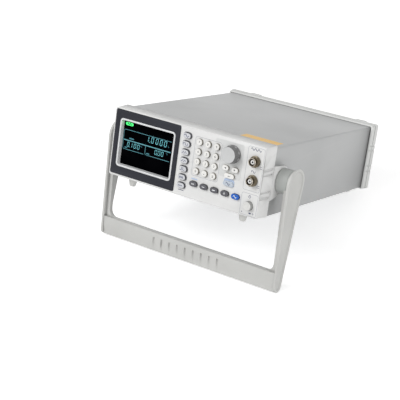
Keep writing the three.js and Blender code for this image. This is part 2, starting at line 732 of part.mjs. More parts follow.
function standoffs(board) {
  const span = boardSpan(board);
  const inset = mainBoard.standoffInset;
  const places = [span.left + inset, span.right - inset].flatMap((x) =>
    [span.front + inset, span.back - inset].map((y) => [x, y]));
  return places.map(([x, y]) => extrudeZ(
    circlePoints(x, y, tray.standoff, 6), caseBottom + cover.sheet / 2, trayTop + tray.standoffHeight));
}

function bottomTray() {
  const sheet = cut(solid(extrudeY(trayOutline(), caseFront, caseBack)), traySlots());
  const posts = [...standoffs(mainBoard), ...standoffs(powerBoard)];
  return posts.map(solid).reduce((whole, post) => whole.add(post), sheet);
}

// Boards on the tray. Parts on a board are [left, right, front, back] as shares of it, and a height.
function loadedBoard(board, blocks) {
  const span = boardSpan(board);
  const top = boardBottom + mainBoard.thickness;
  const width = span.right - span.left;
  const length = span.back - span.front;
  const plate = extrudeZ(boxOutline(span.left, span.right, span.front, span.back), boardBottom, top);
  const parts = blocks.map(({ shares, height }) => {
    const [left, right, front, back] = shares;
    const outline = boxOutline(
      span.left + left * width, span.left + right * width,
      span.front + front * length, span.front + back * length);
    return extrudeZ(outline, top - mainBoard.chipOverlap, top + height);
  });
  return [plate, ...parts];
}

function mainBoardBody() {
  const chip = mainBoard.chipHeight;
  const blockShares = [
    [0.12, 0.36, 0.15, 0.38], [0.5, 0.66, 0.2, 0.34], [0.74, 0.9, 0.12, 0.42], [0.2, 0.34, 0.6, 0.74],
  ];
  return join(loadedBoard(mainBoard, blockShares.map((shares) => ({ shares, height: chip }))));
}

function powerBoardBody() {
  const span = boardSpan(powerBoard);
  const top = boardBottom + mainBoard.thickness;
  const transformerShares = [0.12, 0.76, 0.1, 0.48];
  const canShares = [[0.25, 0.72], [0.62, 0.72]];
  const cans = canShares.map(([columnShare, rowShare]) => {
    const x = span.left + columnShare * (span.right - span.left);
    const y = span.front + rowShare * (span.back - span.front);
    const outline = circlePoints(x, y, powerBoard.canRadius, 12);
    return extrudeZ(outline, top - mainBoard.chipOverlap, top + powerBoard.canHeight);
  });
  const transformer = { shares: transformerShares, height: powerBoard.transformerHeight };
  return join([...loadedBoard(powerBoard, [transformer]), ...cans]);
}

// Rear panel with its cooling slots and the cut-outs for what it carries.
function fanSlots(at) {
  const count = Math.floor((2 * fanBore) / fan.slotPitch);
  return Array.from({ length: count }, (_, i) => {
    const offset = (i - (count - 1) / 2) * fan.slotPitch;
    const half = Math.sqrt(fanBore ** 2 - offset ** 2) - fan.slotWidth / 2;
    return roundedOutline(at.x + offset, at.z, fan.slotWidth, 2 * half, fan.slotWidth / 2, 1);
  });
}

function rearPanelBody() {
  const grow = 2 * clearance;
  const holes = [
    ...fanSlots(fanAt),
    roundedOutline(inletAt.x, inletAt.z, inlet.width + grow, inlet.height + grow, inlet.corner),
    boxOutline(
      usbAt.x - usb.width / 2 - clearance, usbAt.x + usb.width / 2 + clearance,
      usbAt.z - usb.height / 2 - clearance, usbAt.z + usb.height / 2 + clearance),
    ...rearJacks.map((at) => circlePoints(at.x, at.z, jack.thread + clearance, 16)),
  ];
  return extrudeY(sleeveOutline(0, 0), panelFront, panelBack, holes);
}

// The cover's outline, grown by room for what it slides into, and by sideRoom at each side.
function sleeveOutline(room, sideRoom) {
  const half = halfCase + sideRoom;
  const foot = caseBottom - room;
  const corner = cover.bend + room;
  const round = arcPoints(half - corner, caseTop + room - corner, corner, 0, 90, 3);
  const mirrored = round.map((point) => new THREE.Vector2(-point.x, point.y)).reverse();
  return [new THREE.Vector2(half, foot), ...round, ...mirrored, new THREE.Vector2(-half, foot)];
}

// Rear bezel: a ring with a groove round it and four down each side, four posts that reach back,
// and the rear feet below.
function ringOutline(inset) {
  const half = halfCase + rearBezel.overhang - inset;
  const top = caseTop + rearBezel.topRise - inset;
  return spanOutline(-half, half, caseBottom - rearBezel.bottomDrop + inset, top, rearBezel.corner - inset);
}

function ringGrooves() {
  const floor = halfCase + rearBezel.overhang - groove.depth;
  const half = groove.height / 2;
  return Object.values(sides).flatMap((side) => groove.rowShares.map((share) => {
    const z = up(share);
    const outline = spanOutline(rearFace + groove.front, depths.case + overrun, z - half, z + half, half, 1);
    return extrudeX(outline, side * floor, side * (floor + overrun));
  }));
}

function rearPosts() {
  const ends = [
    [0, depths.case - rearPost.root], [rearPost.taper, depths.case + rearPost.reach - rearPost.edge],
    [rearPost.taper + rearPost.edge, depths.case + rearPost.reach],
  ];
  const low = caseBottom - rearBezel.bottomDrop + rearPost.inset + rearPost.height / 2;
  const high = caseTop + rearBezel.topRise - rearPost.inset - rearPost.height / 2;
  return Object.values(sides).flatMap((side) => [low, high].map((z) => loft(ends.map(([inset, y]) => {
    const x = side * across(rearPost.centreShare);
    const width = rearPost.width - 2 * inset;
    const height = rearPost.height - 2 * inset;
    return ringY(roundedOutline(x, z, width, height, rearPost.corner, 1), y);
  }).reverse())));
}

function rearFootBody(x) {
  const front = rearFace + rearFoot.frontMargin;
  const back = depths.case - rearFoot.backMargin;
  const top = caseBottom - rearBezel.bottomDrop + rearFoot.rootOverlap;
  const bottom = caseBottom - rearBezel.bottomDrop - rearFoot.height;
  const half = rearFoot.width / 2;
  const level = (inset, z) => [
    [x - half + inset, front + inset / 2], [x + half - inset, front + inset / 2],
    [x + half - inset, back], [x - half + inset, back],
  ].map(([u, v]) => new THREE.Vector3(u, v, z));
  return loft([level(rearFoot.taper, bottom), level(0, top)]);
}

function rearBezelBody() {
  const ringSteps = [
    [rearBezel.edge, depths.case], [0, depths.case - rearBezel.edge],
    [0, lipEnd + rearBezel.groove], [rearBezel.groove, lipEnd + rearBezel.groove],
    [rearBezel.groove, lipEnd], [0, lipEnd], [0, rearFace + rearBezel.edge], [rearBezel.edge, rearFace],
  ];
  const ring = loft(ringSteps.map(([inset, y]) => ringY(ringOutline(inset), y)));
  const openingHalf = halfCase - rearBezel.rim;
  const opening = spanOutline(
    -openingHalf, openingHalf, caseBottom + rearBezel.rim, caseTop - rearBezel.rim, rearBezel.openingCorner);
  const front = rearFace - overrun;
  const hollow = cut(solid(ring), [
    extrudeY(sleeveOutline(clearance, clearance), front, panelBack + clearance),
    extrudeY(sleeveOutline(clearance, rearBezel.sideGap), front, rearFace + rearBezel.sideGapDepth),
    extrudeY(opening, front, depths.case + overrun),
  ]);
  const feet = Object.values(sides).map((side) => rearFootBody(side * across(rearFoot.centreShare)));
  const whole = [...rearPosts(), ...feet].map(solid).reduce((sum, next) => sum.add(next), hollow);
  return cut(whole, ringGrooves());
}

// Fan behind the rear panel's slots: a square housing with struts and a spindle, and the rotor.
function fanHousing() {
  const back = panelFront - clearance;
  const front = back - fan.thickness;
  const outline = roundedOutline(fanAt.x, fanAt.z, fan.size, fan.size, fan.base, 2);
  const frame = extrudeY(outline, front, back, [circlePoints(fanAt.x, fanAt.z, fanBore, 24)]);
  const strutBack = front + fan.strutThickness;
  const struts = Array.from({ length: fan.strutCount }, (_, i) => {
    const sketch = boxOutline(0, fanBore + fan.rim / 2, -fan.strut / 2, fan.strut / 2);
    const bar = extrudeY(sketch, front, strutBack);
    return bar.rotateY((i / fan.strutCount) * Math.PI * 2).translate(fanAt.x, 0, fanAt.z);
  });
  const plate = extrudeY(circlePoints(fanAt.x, fanAt.z, fan.hub, 16), front, strutBack);
  const spindle = extrudeY(circlePoints(fanAt.x, fanAt.z, fan.shaft, 12), front, back - fan.base - clearance);
  return join([frame, ...struts, plate, spindle]);
}

function fanBlade(i, front, back) {
  const start = fan.hub - fan.hubWall / 2;
  const end = fanBore - fan.tipGap;
  const half = fan.bladeThickness / 2;
  const level = (offset, y) => ringY(boxOutline(start, end, offset - half, offset + half), y);
  const blade = loft([level(fan.bladeLean, back), level(-fan.bladeLean, front)]);
  return blade.rotateY((i / fan.bladeCount) * Math.PI * 2);
}

function fanRotor() {
  const back = panelFront - clearance - fan.base / 2;
  const front = panelFront - clearance - fan.thickness + fan.strutThickness + clearance;
  const bore = fan.shaft + clearance;
  const boreEnd = back - fan.base / 2;
  const hub = turned([
    [0, boreEnd], [bore, boreEnd], [bore, front], [fan.hub, front], [fan.hub, back], [0, back],
  ], 0, 0, 16);
  const bladeFront = front + fan.base / 2;
  const blades = Array.from({ length: fan.bladeCount }, (_, i) => fanBlade(i, bladeFront, boreEnd));
  return geometryOf(join([hub, ...blades])).translate(fanAt.x, 0, fanAt.z);
}

// Mains inlet: flange with two screw ears, body through the panel, three flat pins in the well.
function mainsInlet() {
  const face = panelBack + clearance;
  const flangeBack = face + inlet.flangeThickness;
  const bodyFront = flangeBack - inlet.depth;
  const flangeWidth = inlet.width + 2 * inlet.ear;
  const screws = Object.values(sides).map((side) =>
    circlePoints(side * (inlet.width / 2 + inlet.ear / 2), 0, inlet.screwHole, 8));
  const flangeOutline = roundedOutline(0, 0, flangeWidth, inlet.flangeHeight, inlet.flangeCorner, 2);
  const flange = extrudeY(flangeOutline, face, flangeBack, screws);
  const bodyOutline = roundedOutline(0, 0, inlet.width, inlet.height, inlet.corner, 2);
  const body = extrudeY(bodyOutline, bodyFront, flangeBack);
  const wellFloor = flangeBack - inlet.cavityDepth;
  const wellOutline = roundedOutline(0, 0, inlet.cavityWidth, inlet.cavityHeight, inlet.cavityCorner, 2);
  const well = extrudeY(wellOutline, wellFloor, flangeBack + overrun);
  const linePlaces = Object.values(sides).map((side) => [side * inlet.pinSpread, -inlet.lineDrop]);
  const pinPlaces = [[0, inlet.earthRise], ...linePlaces];
  const pins = pinPlaces.map(([x, z]) => extrudeY(
    roundedOutline(x, z, inlet.pinWidth, inlet.pinHeight, inlet.pinCorner, 1),
    wellFloor - clearance, wellFloor + inlet.pinLength));
  const shell = cut(join([flange, body]), [well]);
  const whole = pins.map(solid).reduce((rest, pin) => rest.add(pin), shell);
  return geometryOf(whole).translate(inletAt.x, 0, inletAt.z);
}

// Square rear data port with the tongue inside its shell.
function usbPort() {
  const back = panelBack + usb.proud;
  const front = back - usb.length;
  const centred = (width, height) => boxOutline(-width / 2, width / 2, -height / 2, height / 2);
  const floor = back - usb.cavityDepth;
  const boreOutline = centred(usb.width - 2 * usb.wall, usb.height - 2 * usb.wall);
  const bore = extrudeY(boreOutline, floor, back + overrun);
  const shell = cut(solid(extrudeY(centred(usb.width, usb.height), front, back)), [bore]);
  const tongueOutline = centred(usb.tongue, usb.tongueHeight);
  const tongue = extrudeY(tongueOutline, floor - clearance, floor + usb.tongueLength);
  return geometryOf(shell.add(solid(tongue))).translate(usbAt.x, 0, usbAt.z);
}

// Front foot, tapered, its top following the bezel's underside.
function frontFootBody(side) {
  const x = side * across(frontFoot.centreShare);
  const outline = (size, corner) => roundedOutline(x, frontFoot.y, size, size, corner, 3);
  const bottom = bezelUnderside(frontFoot.y) - clearance - frontFoot.height;
  const level = (points, z) => points.map((point) => new THREE.Vector3(point.x, point.y, z));
  const top = outline(frontFoot.size, frontFoot.corner).map((point) =>
    new THREE.Vector3(point.x, point.y, bezelUnderside(point.y) - clearance));
  return loft([
    level(outline(frontFoot.tipSize - frontFoot.edge, frontFoot.tipCorner - frontFoot.edge / 2), bottom),
    level(outline(frontFoot.tipSize, frontFoot.tipCorner), bottom + frontFoot.edge),
    top,
  ]);
}

// Handle pivot: a boss fixed through the ear, and the drum that turns on it with the handle.
function pivotBoss(side) {
  const start = earInner;
  const face = earFace + clearance;
  const neckEnd = earFace + drum.gap + drum.cup - clearance;
  const end = plateInner - clearance - drum.cap - clearance;
  return turnedAtPivot([
    [0, start], [boss.foot, start], [boss.foot, face], [boss.neck, face],
    [boss.neck, neckEnd], [boss.spigot, neckEnd], [boss.spigot, end], [0, end],
  ], side, 16);
}

function hubDrum(side) {
  const open = earFace + drum.gap;
  const closed = plateInner - clearance;
  const neckBore = boss.neck + clearance;
  const spigotBore = boss.spigot + clearance;
  return turnedAtPivot([
    [0, closed - drum.cap], [spigotBore, closed - drum.cap], [spigotBore, open + drum.cup],
    [neckBore, open + drum.cup], [neckBore, open], [drum.radius - drum.edge, open],
    [drum.radius, open + drum.edge], [drum.radius, closed], [0, closed],
  ], side, 16);
}

// Handle. Each arm tapers from a round top about the pivot to a small round foot.
const tip = { y: pivot.y - handle.tipSetback, z: pivot.z - handle.armDrop };

function armOutline(inset, draft = 0) {
  const length = Math.hypot(handle.tipSetback, handle.armDrop);
  const axis = THREE.MathUtils.radToDeg(Math.atan2(tip.z - pivot.z, tip.y - pivot.y));
  const spread = THREE.MathUtils.radToDeg(Math.acos((handle.topRadius - handle.tipRadius) / length));
  const topRadius = handle.topRadius - inset - draft;
  const tipRadius = handle.tipRadius - inset - draft;
  const turn = 360;
  const top = arcPoints(
    pivot.y - draft, pivot.z, topRadius, axis + spread, axis - spread + turn, handle.topSteps);
  const end = arcPoints(tip.y - draft, tip.z, tipRadius, axis - spread, axis + spread, handle.tipSteps);
  return [...top, ...end];
}

// The rear edge is drawn in towards the inner face.
function armPlate(side) {
  const rings = [
    [plateInner, 0, handle.draft], [plateFace - handle.edge, 0], [plateFace, handle.edge],
    [plateFace, handle.rimWidth], [plateFace - handle.dish, handle.rimWidth + handle.dishSlope],
  ].map(([x, inset, draft]) => ringX(armOutline(inset, draft), side * x));
  return loft(side > 0 ? rings : rings.reverse());
}

// The front edge line of an arm, from its two tangent points.
function armFrontEdge() {
  const points = armOutline(0);
  const [topPoint, tipPoint] = points.slice(handle.topSteps, handle.topSteps + 2);
  return { y: topPoint.x, z: topPoint.y, slope: (tipPoint.x - topPoint.x) / (tipPoint.y - topPoint.y) };
}

// Inner rib: down both arms and round into the crossbar's shelf, drawn from the front.
function ribBand() {
  const outer = plateInner + handle.plateOverlap;
  const inner = plateInner - rib.thickness;
  const shelfBottom = bar.top - bar.wall;
  const mirrored = (points) => points.map((point) => new THREE.Vector2(-point.x, point.y)).reverse();
  const fillet = arcPoints(inner - rib.fillet, bar.top + rib.fillet, rib.fillet, 270, 360, 5);
  const outline = [
    new THREE.Vector2(-outer, shelfBottom), new THREE.Vector2(outer, shelfBottom),
    new THREE.Vector2(outer, pivot.z), new THREE.Vector2(inner, pivot.z),
    ...[...fillet].reverse(), ...mirrored(fillet).reverse(),
    new THREE.Vector2(-inner, pivot.z), new THREE.Vector2(-outer, pivot.z),
  ];
  const edge = armFrontEdge();
  const start = edge.y + rib.setback;
  const band = lean(extrudeY(outline, start, start + rib.depth), edge.slope, edge.z);
  const drumSpace = extrudeX(circlePoints(pivot.y, pivot.z, drum.radius + clearance, 18), -outer, plateInner);
  return cut(solid(band), [drumSpace]);
}

// Crossbar: a channel open to the back, with a bowed front, a shelf on top and a round lower edge.
function barRound(inset, steps) {
  return arcPoints(tip.y, tip.z, handle.tipRadius - inset, bar.bottomDegrees, bar.backDegrees, steps);
}

const barFoot = barRound(0, 1)[0];

function barFrontAt(z) {
  const share = (bar.top - z) / (bar.top - barFoot.y);
  return bar.frontTop + share * (bar.frontBottom - bar.frontTop);
}

function barFront(inset) {
  const middleZ = (bar.top + barFoot.y) / 2;
  return [
    new THREE.Vector2(bar.frontTop + inset, bar.top - inset),
    new THREE.Vector2(barFrontAt(middleZ) - bar.bulge + inset, middleZ),
  ];
}

function barOutline() {
  return [
    ...barFront(0), ...barRound(0, 5), ...barRound(bar.wall, 5).reverse(), ...barFront(bar.wall).reverse(),
    new THREE.Vector2(bar.shelf, bar.top - bar.wall), new THREE.Vector2(bar.shelf, bar.top),
  ];
}

function barWebs() {
  const inset = bar.wall / 2;
  const shelfEnd = new THREE.Vector2(bar.shelf - bar.wall, bar.top - inset);
  const outline = [...barFront(inset), ...barRound(inset, 4), shelfEnd];
  return Array.from({ length: bar.webCount }, (_, i) => {
    const x = plateInner * (-1 + (2 * (i + 1)) / (bar.webCount + 1));
    return extrudeX(outline, x - bar.web / 2, x + bar.web / 2);
  });
}

function gripGrooves() {
  const slope = (barFrontAt(grip.top) - barFrontAt(grip.bottom)) / (grip.top - grip.bottom);
  const radius = grip.width / 2;
  return Array.from({ length: grip.count }, (_, i) => {
    const x = (i - (grip.count - 1) / 2) * grip.pitch;
    const y = barFrontAt(grip.top) - bar.bulge - radius + grip.depth;
    return lean(extrudeZ(circlePoints(x, y, radius, 8), grip.bottom, grip.top), slope, grip.top);
  });
}

function handleBody() {
  const reach = plateInner + handle.plateOverlap;
  const crossbar = extrudeX(barOutline(), -reach, reach);
  const body = join([armPlate(sides.left), armPlate(sides.right), crossbar, ...barWebs()]);
  return cut(body.add(ribBand()), gripGrooves());
}

// Assembly
addPiece('front_bezel', frontBezel(), 'bezel');
addPiece('display_panel', displayPanel(), 'panel');
addPiece('display_frame', displayFrame(), 'frame');
addPiece('lcd_module', lcdModule(), 'screen');
addPiece('front_board', frontBoardBody(), 'board');
addPiece('encoder', encoderBody(), 'steel');
addPiece('power_switch', powerSwitch(), 'black');
addPiece('top_cover', topCover(), 'sheet');
addPiece('bottom_tray', bottomTray(), 'steel');
addPiece('main_board', mainBoardBody(), 'board');
addPiece('power_board', powerBoardBody(), 'board');
addPiece('rear_panel', rearPanelBody(), 'steel');
addPiece('rear_bezel', rearBezelBody(), 'moulding');
addPiece('fan_housing', fanHousing(), 'black');
addPiece('fan_rotor', fanRotor(), 'black');
addPiece('mains_inlet', mainsInlet(), 'black');
addPiece('usb_port', usbPort(), 'nickel');
addJacks();

const knobGroup = new THREE.Group();
addPiece('knob', knobBody(), 'knob', knobGroup);
addPiece('encoder_shaft', encoderShaft(), 'metal', knobGroup);
instrument.add(knobGroup);

addPiece('power_button', powerButton(), 'button');
keys.forEach((key) => addPiece(`key_${key.name}`, keyCap(key), key.finish));

const handleGroup = new THREE.Group();
addPiece('handle', handleBody(), 'handle', handleGroup);
Object.entries(sides).forEach(([name, side]) => {
  addPiece(`front_foot_${name}`, frontFootBody(side), 'foot');
  addPiece(`pivot_boss_${name}`, pivotBoss(side), 'drum');
  addPiece(`hub_drum_${name}`, hubDrum(side), 'drum', handleGroup);
});
instrument.add(handleGroup);

// Standing: the line under the crossbar's round edge and the rear feet becomes level.
const footCorner = {
  y: depths.case - rearFoot.backMargin, z: caseBottom - rearBezel.bottomDrop - rearFoot.height,
};
const span = Math.hypot(footCorner.y - tip.y, footCorner.z - tip.z);
const rise = Math.atan2(footCorner.z - tip.z, footCorner.y - tip.y);
instrument.rotation.x = -(rise + Math.asin(handle.tipRadius / span));
instrument.updateMatrixWorld(true);
const box = new THREE.Box3().setFromObject(instrument, true);
instrument.position.set(0, -(box.min.y + box.max.y) / 2, -box.min.z);

export default new THREE.Group().add(instrument);
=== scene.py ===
import json
import math

import bmesh
import bpy
from mathutils import Matrix, Vector


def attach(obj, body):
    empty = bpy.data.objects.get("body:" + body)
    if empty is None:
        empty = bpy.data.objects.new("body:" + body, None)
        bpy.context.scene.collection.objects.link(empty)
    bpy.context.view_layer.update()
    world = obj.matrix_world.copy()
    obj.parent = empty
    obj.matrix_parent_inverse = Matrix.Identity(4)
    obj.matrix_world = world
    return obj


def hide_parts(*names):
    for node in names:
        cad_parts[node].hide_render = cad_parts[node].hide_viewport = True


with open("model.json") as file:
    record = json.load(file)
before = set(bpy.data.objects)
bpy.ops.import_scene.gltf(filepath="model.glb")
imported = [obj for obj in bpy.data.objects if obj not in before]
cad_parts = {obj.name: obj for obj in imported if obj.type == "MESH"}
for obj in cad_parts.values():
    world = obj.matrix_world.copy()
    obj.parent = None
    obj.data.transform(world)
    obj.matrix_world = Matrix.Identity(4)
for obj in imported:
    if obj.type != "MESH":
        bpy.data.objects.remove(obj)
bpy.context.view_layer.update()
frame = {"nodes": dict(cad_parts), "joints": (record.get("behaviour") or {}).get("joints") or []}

# A bench function generator that stands on its handle, dressed for a studio picture.
# Pieces are drawn in millimetres in the case's own frame: x to the right, y from the front face
# to the back, z up from the lower edge of the front. caseMatrix then carries them into the row.

scene = bpy.context.scene
nodes = frame["nodes"]
jointOf = {joint["name"]: joint for joint in frame["joints"]}

pivot = {"y": 40.8, "z": 42.5}      # the handle's hinge in the case's frame
pushAxis = Vector(jointOf["knob_turn"]["axis"])
leanTurn = Matrix.Rotation(-math.atan2(-pushAxis.z, pushAxis.y), 4, "X")
pivotRow = Vector(jointOf["handle_swing"]["pos_m"])
pivotShift = leanTurn @ (Vector((0, pivot["y"], pivot["z"])) * 0.001)
caseMatrix = Matrix.Translation(pivotRow - pivotShift) @ leanTurn @ Matrix.Scale(0.001, 4)
rowToCase = caseMatrix.inverted()
frontAxis = (leanTurn @ Vector((0, -1, 0))).normalized()


def caseBox(node):
    points = [rowToCase @ vertex.co for vertex in nodes[node].data.vertices]
    low = Vector([min(point[axis] for point in points) for axis in range(3)])
    high = Vector([max(point[axis] for point in points) for axis in range(3)])
    return low, high


def faceMiddle(low, high):
    return (low.x + high.x) / 2, (low.z + high.z) / 2


# Shader trees
def addNode(tree, kind, values=(), **settings):
    # values fill inputs by name or number: a socket is linked, anything else is a constant
    node = tree.nodes.new(kind)
    for name, value in settings.items():
        setattr(node, name, value)
    for key, value in dict(values).items():
        if isinstance(value, bpy.types.NodeSocket):
            tree.links.new(value, node.inputs[key])
        else:
            node.inputs[key].default_value = value
    return node


def groupTree(name, inputs, outputs):
    # an input takes its kind from its value: a number, a vector of 3 or a colour of 4
    tree = bpy.data.node_groups.new(name, "ShaderNodeTree")
    for label, value in inputs.items():
        kind = {3: "Vector", 4: "Color"}[len(value)] if isinstance(value, tuple) else "Float"
        socket = tree.interface.new_socket(name=label, in_out="INPUT", socket_type="NodeSocket" + kind)
        socket.default_value = value
    for label, kind in outputs.items():
        tree.interface.new_socket(name=label, in_out="OUTPUT", socket_type="NodeSocket" + kind)
    return tree, tree.nodes.new("NodeGroupInput").outputs, tree.nodes.new("NodeGroupOutput").inputs


def noiseAt(tree, place, scale, detail):
    values = {"Vector": place, "Scale": scale, "Detail": detail}
    return addNode(tree, "ShaderNodeTexNoise", values).outputs["Fac"]


def mixOf(tree, share, first, second, kind="RGBA", **settings):
    start = {"RGBA": 6, "FLOAT": 2}[kind]
    values = {0: share, start: first, start + 1: second}
    mix = addNode(tree, "ShaderNodeMix", values, data_type=kind, **settings)
    return mix.outputs[{"RGBA": 2, "FLOAT": 0}[kind]]


def shareOf(tree, value, low, high, least=0.0):
    # how far a value is on its way from low to high, from least to 1
    values = {"Value": value, "From Min": low, "From Max": high, "To Min": least}
    return addNode(tree, "ShaderNodeMapRange", values, clamp=True).outputs["Result"]


def mouldedGrainGroup():
    # fine spark-eroded grain with a slow waviness under it
    tree, given, result = groupTree(
        "mouldedGrain", {"Grain Scale": 2200.0, "Wave Scale": 40.0, "Wave Share": 0.35}, {"Height": "Float"})
    place = addNode(tree, "ShaderNodeTexCoord").outputs["Object"]
    grain = noiseAt(tree, place, given["Grain Scale"], 2.0)
    wave = noiseAt(tree, place, given["Wave Scale"], 1.0)
    tree.links.new(mixOf(tree, given["Wave Share"], grain, wave, "FLOAT"), result["Height"])
    return tree


def handlingGroup():
    # where hands and dust have been: a soft patchy mask for colour and roughness
    tree, given, result = groupTree(
        "handlingMarks",
        {"Patch Scale": 22.0, "Low": 0.42, "High": 0.68, "Clean Tone": (1, 1, 1, 1),
         "Worn Tone": (1, 1, 1, 1), "Clean Roughness": 0.5, "Worn Roughness": 0.6},
        {"Tone": "Color", "Roughness": "Float"})
    place = addNode(tree, "ShaderNodeTexCoord").outputs["Object"]
    patches = noiseAt(tree, place, given["Patch Scale"], 4.0)
    mask = shareOf(tree, patches, given["Low"], given["High"])
    tone = mixOf(tree, mask, given["Clean Tone"], given["Worn Tone"])
    roughness = mixOf(tree, mask, given["Clean Roughness"], given["Worn Roughness"], "FLOAT")
    tree.links.new(tone, result["Tone"])
    tree.links.new(roughness, result["Roughness"])
    return tree


def brushedGroup():
    # lines drawn out along one direction, for turned and plated metal
    tree, given, result = groupTree(
        "brushedLines", {"Line Scale": 900.0, "Stretch": (1.0, 0.06, 1.0)}, {"Height": "Float"})
    place = addNode(tree, "ShaderNodeTexCoord").outputs["Object"]
    drawn = addNode(tree, "ShaderNodeVectorMath", {0: place, 1: given["Stretch"]}, operation="MULTIPLY")
    tree.links.new(noiseAt(tree, drawn.outputs[0], given["Line Scale"], 3.0), result["Height"])
    return tree


def paintedWallShadeGroup():
    # painted shade: turns a surface darker where it falls away from the front, as on the flanks of keys
    tree, given, result = groupTree(
        "paintedWallShade",
        {"Face Tone": (1, 1, 1, 1), "Painted Shade Tone": (0.2, 0.2, 0.2, 1), "Front": (0, -1, 0),
         "Low": 0.35, "High": 0.8},
        {"Tone": "Color"})
    normal = addNode(tree, "ShaderNodeTexCoord").outputs["Normal"]
    facing = addNode(tree, "ShaderNodeVectorMath", {0: normal, 1: given["Front"]}, operation="DOT_PRODUCT")
    share = shareOf(tree, facing.outputs["Value"], given["Low"], given["High"])
    tree.links.new(mixOf(tree, share, given["Painted Shade Tone"], given["Face Tone"]), result["Tone"])
    return tree


def paintedCreviceShadeGroup():
    # painted shade: darkens a tone where the surface lies in a groove or an inner corner of its own piece
    tree, given, result = groupTree(
        "paintedCreviceShade", {"Open Tone": (1, 1, 1, 1), "Reach": 0.003, "Crevice Share": 0.5}, {"Tone": "Color"})
    reach = {"Distance": given["Reach"]}
    cover = addNode(tree, "ShaderNodeAmbientOcclusion", reach, samples=8, only_local=True)
    share = shareOf(tree, cover.outputs["AO"], 0.35, 0.95, given["Crevice Share"])
    tree.links.new(mixOf(tree, 1.0, given["Open Tone"], share, blend_type="MULTIPLY"), result["Tone"])
    return tree


mouldedGrain = mouldedGrainGroup()
handlingMarks = handlingGroup()
brushedLines = brushedGroup()
paintedWallShade = paintedWallShadeGroup()
paintedCreviceShade = paintedCreviceShadeGroup()


def linear(red, green, blue):
    # a colour as it reads on screen, turned into the shader's linear values
    return tuple(((value + 0.055) / 1.055) ** 2.4 if value > 0.04045 else value / 12.92
                 for value in (red / 255, green / 255, blue / 255)) + (1.0,)


def surface(name, tone, worn, roughness, patchScale=22.0, **plain):
    # a Principled surface with patchy colour and roughness; plain holds constants for its own sockets
    material = bpy.data.materials.new(name)
    material.use_nodes = True
    tree = material.node_tree
    shader = tree.nodes["Principled BSDF"]
    values = {"Patch Scale": patchScale, "Clean Tone": linear(*tone), "Worn Tone": linear(*worn),
              "Clean Roughness": roughness[0], "Worn Roughness": roughness[1]}
    marks = addNode(tree, "ShaderNodeGroup", values, node_tree=handlingMarks)
    tree.links.new(marks.outputs["Tone"], shader.inputs["Base Color"])
    tree.links.new(marks.outputs["Roughness"], shader.inputs["Roughness"])
    for socket, value in plain.items():
        shader.inputs[socket.replace("_", " ")].default_value = value
    return material


def addBump(material, group, strength, distance, values=()):
    tree = material.node_tree
    height = addNode(tree, "ShaderNodeGroup", values, node_tree=group).outputs["Height"]
    bump = addNode(tree, "ShaderNodeBump", {"Strength": strength, "Distance": distance, "Height": height})
    tree.links.new(bump.outputs["Normal"], tree.nodes["Principled BSDF"].inputs["Normal"])
    return material


def roundInShade(material, radius):
    # edges that are sharp in the mesh are shaded as if rounded by this radius
    tree = material.node_tree
    rounding = addNode(tree, "ShaderNodeBevel", {"Radius": radius}, samples=8)
    bump = next(node for node in tree.nodes if node.type == "BUMP")
    tree.links.new(rounding.outputs["Normal"], bump.inputs["Normal"])
    return material


def retone(material, group, entry, values):
    # the surface's colour goes through a group, in at the socket named entry
    tree = material.node_tree
    colour = tree.nodes["Principled BSDF"].inputs["Base Color"]
    filled = {entry: colour.links[0].from_socket, **values}
    shade = addNode(tree, "ShaderNodeGroup", filled, node_tree=group)
    tree.links.new(shade.outputs["Tone"], colour)
    return material


def paintShadeOnWalls(material, tone, low=0.35, high=0.8):
    # paints shade on the flanks that turn away from the front, in the given tone
    values = {"Painted Shade Tone": linear(*tone), "Front": frontAxis, "Low": low, "High": high}
    return retone(material, paintedWallShade, "Face Tone", values)


def paintShadeInCrevices(material, reach, share):
    # paints shade into grooves and inner corners within reach, down to the given share of the tone
    return retone(material, paintedCreviceShade, "Open Tone", {"Reach": reach, "Crevice Share": share})


# Tones of each finish, clean and worn
tones = {
    "bezel": ((234, 234, 233), (230, 230, 229)),
    "panel": ((34, 36, 44), (40, 42, 50)),
    "frame": ((224, 225, 226), (217, 218, 220)),
    "keyGrey": ((214, 215, 218), (206, 208, 212)),
    "keyWhite": ((244, 243, 240), (239, 238, 234)),
    "button": ((226, 226, 223), (219, 219, 216)),
    "keyDark": ((82, 82, 88), (90, 90, 95)),
    "keyBlue": ((0, 92, 190), (6, 98, 192)),
    "keyClear": ((208, 217, 227), (200, 211, 223)),
    "knob": ((205, 206, 206), (198, 199, 199)),
    "sheet": ((177, 178, 178), (173, 174, 174)),
    "steel": ((176, 178, 180), (166, 168, 170)),
    "nickel": ((196, 188, 176), (176, 167, 154)),
    # painted reflection: the front jacks' nickel shells, darkened to a bronze tone
    "reflectionNickel": ((118, 110, 94), (98, 90, 76)),
    # painted shade: the dark sheet inside the jacks' bores
    "boreShadeNickel": ((70, 58, 46), (54, 45, 36)),
    "gold": ((205, 170, 96), (190, 152, 80)),
    "moulding": ((226, 227, 225), (221, 222, 220)),
    "handle": ((206, 206, 203), (201, 201, 198)),
    "drum": ((191, 194, 191), (184, 187, 184)),
    "foot": ((220, 220, 217), (212, 212, 209)),
    "black": ((34, 35, 38), (42, 43, 46)),
    "board": ((30, 92, 58), (38, 104, 64)),
    "strip": ((228, 178, 62), (222, 172, 56)),
    "glass": ((3, 3, 5), (6, 6, 8)),
}


def plastic(name, key, grainScale, strength, roughness=(0.5, 0.58), **plain):
    material = surface(name, *tones[key], roughness, **plain)
    return addBump(material, mouldedGrain, strength, 0.00004, {"Grain Scale": grainScale})


def metal(name, key, roughness, patchScale, metallic, bump=(0.15, 0.00002), lines=(("Line Scale", 1600.0),)):
    material = surface(name, *tones[key], roughness, patchScale, Metallic=metallic)
    return addBump(material, brushedLines, *bump, lines)


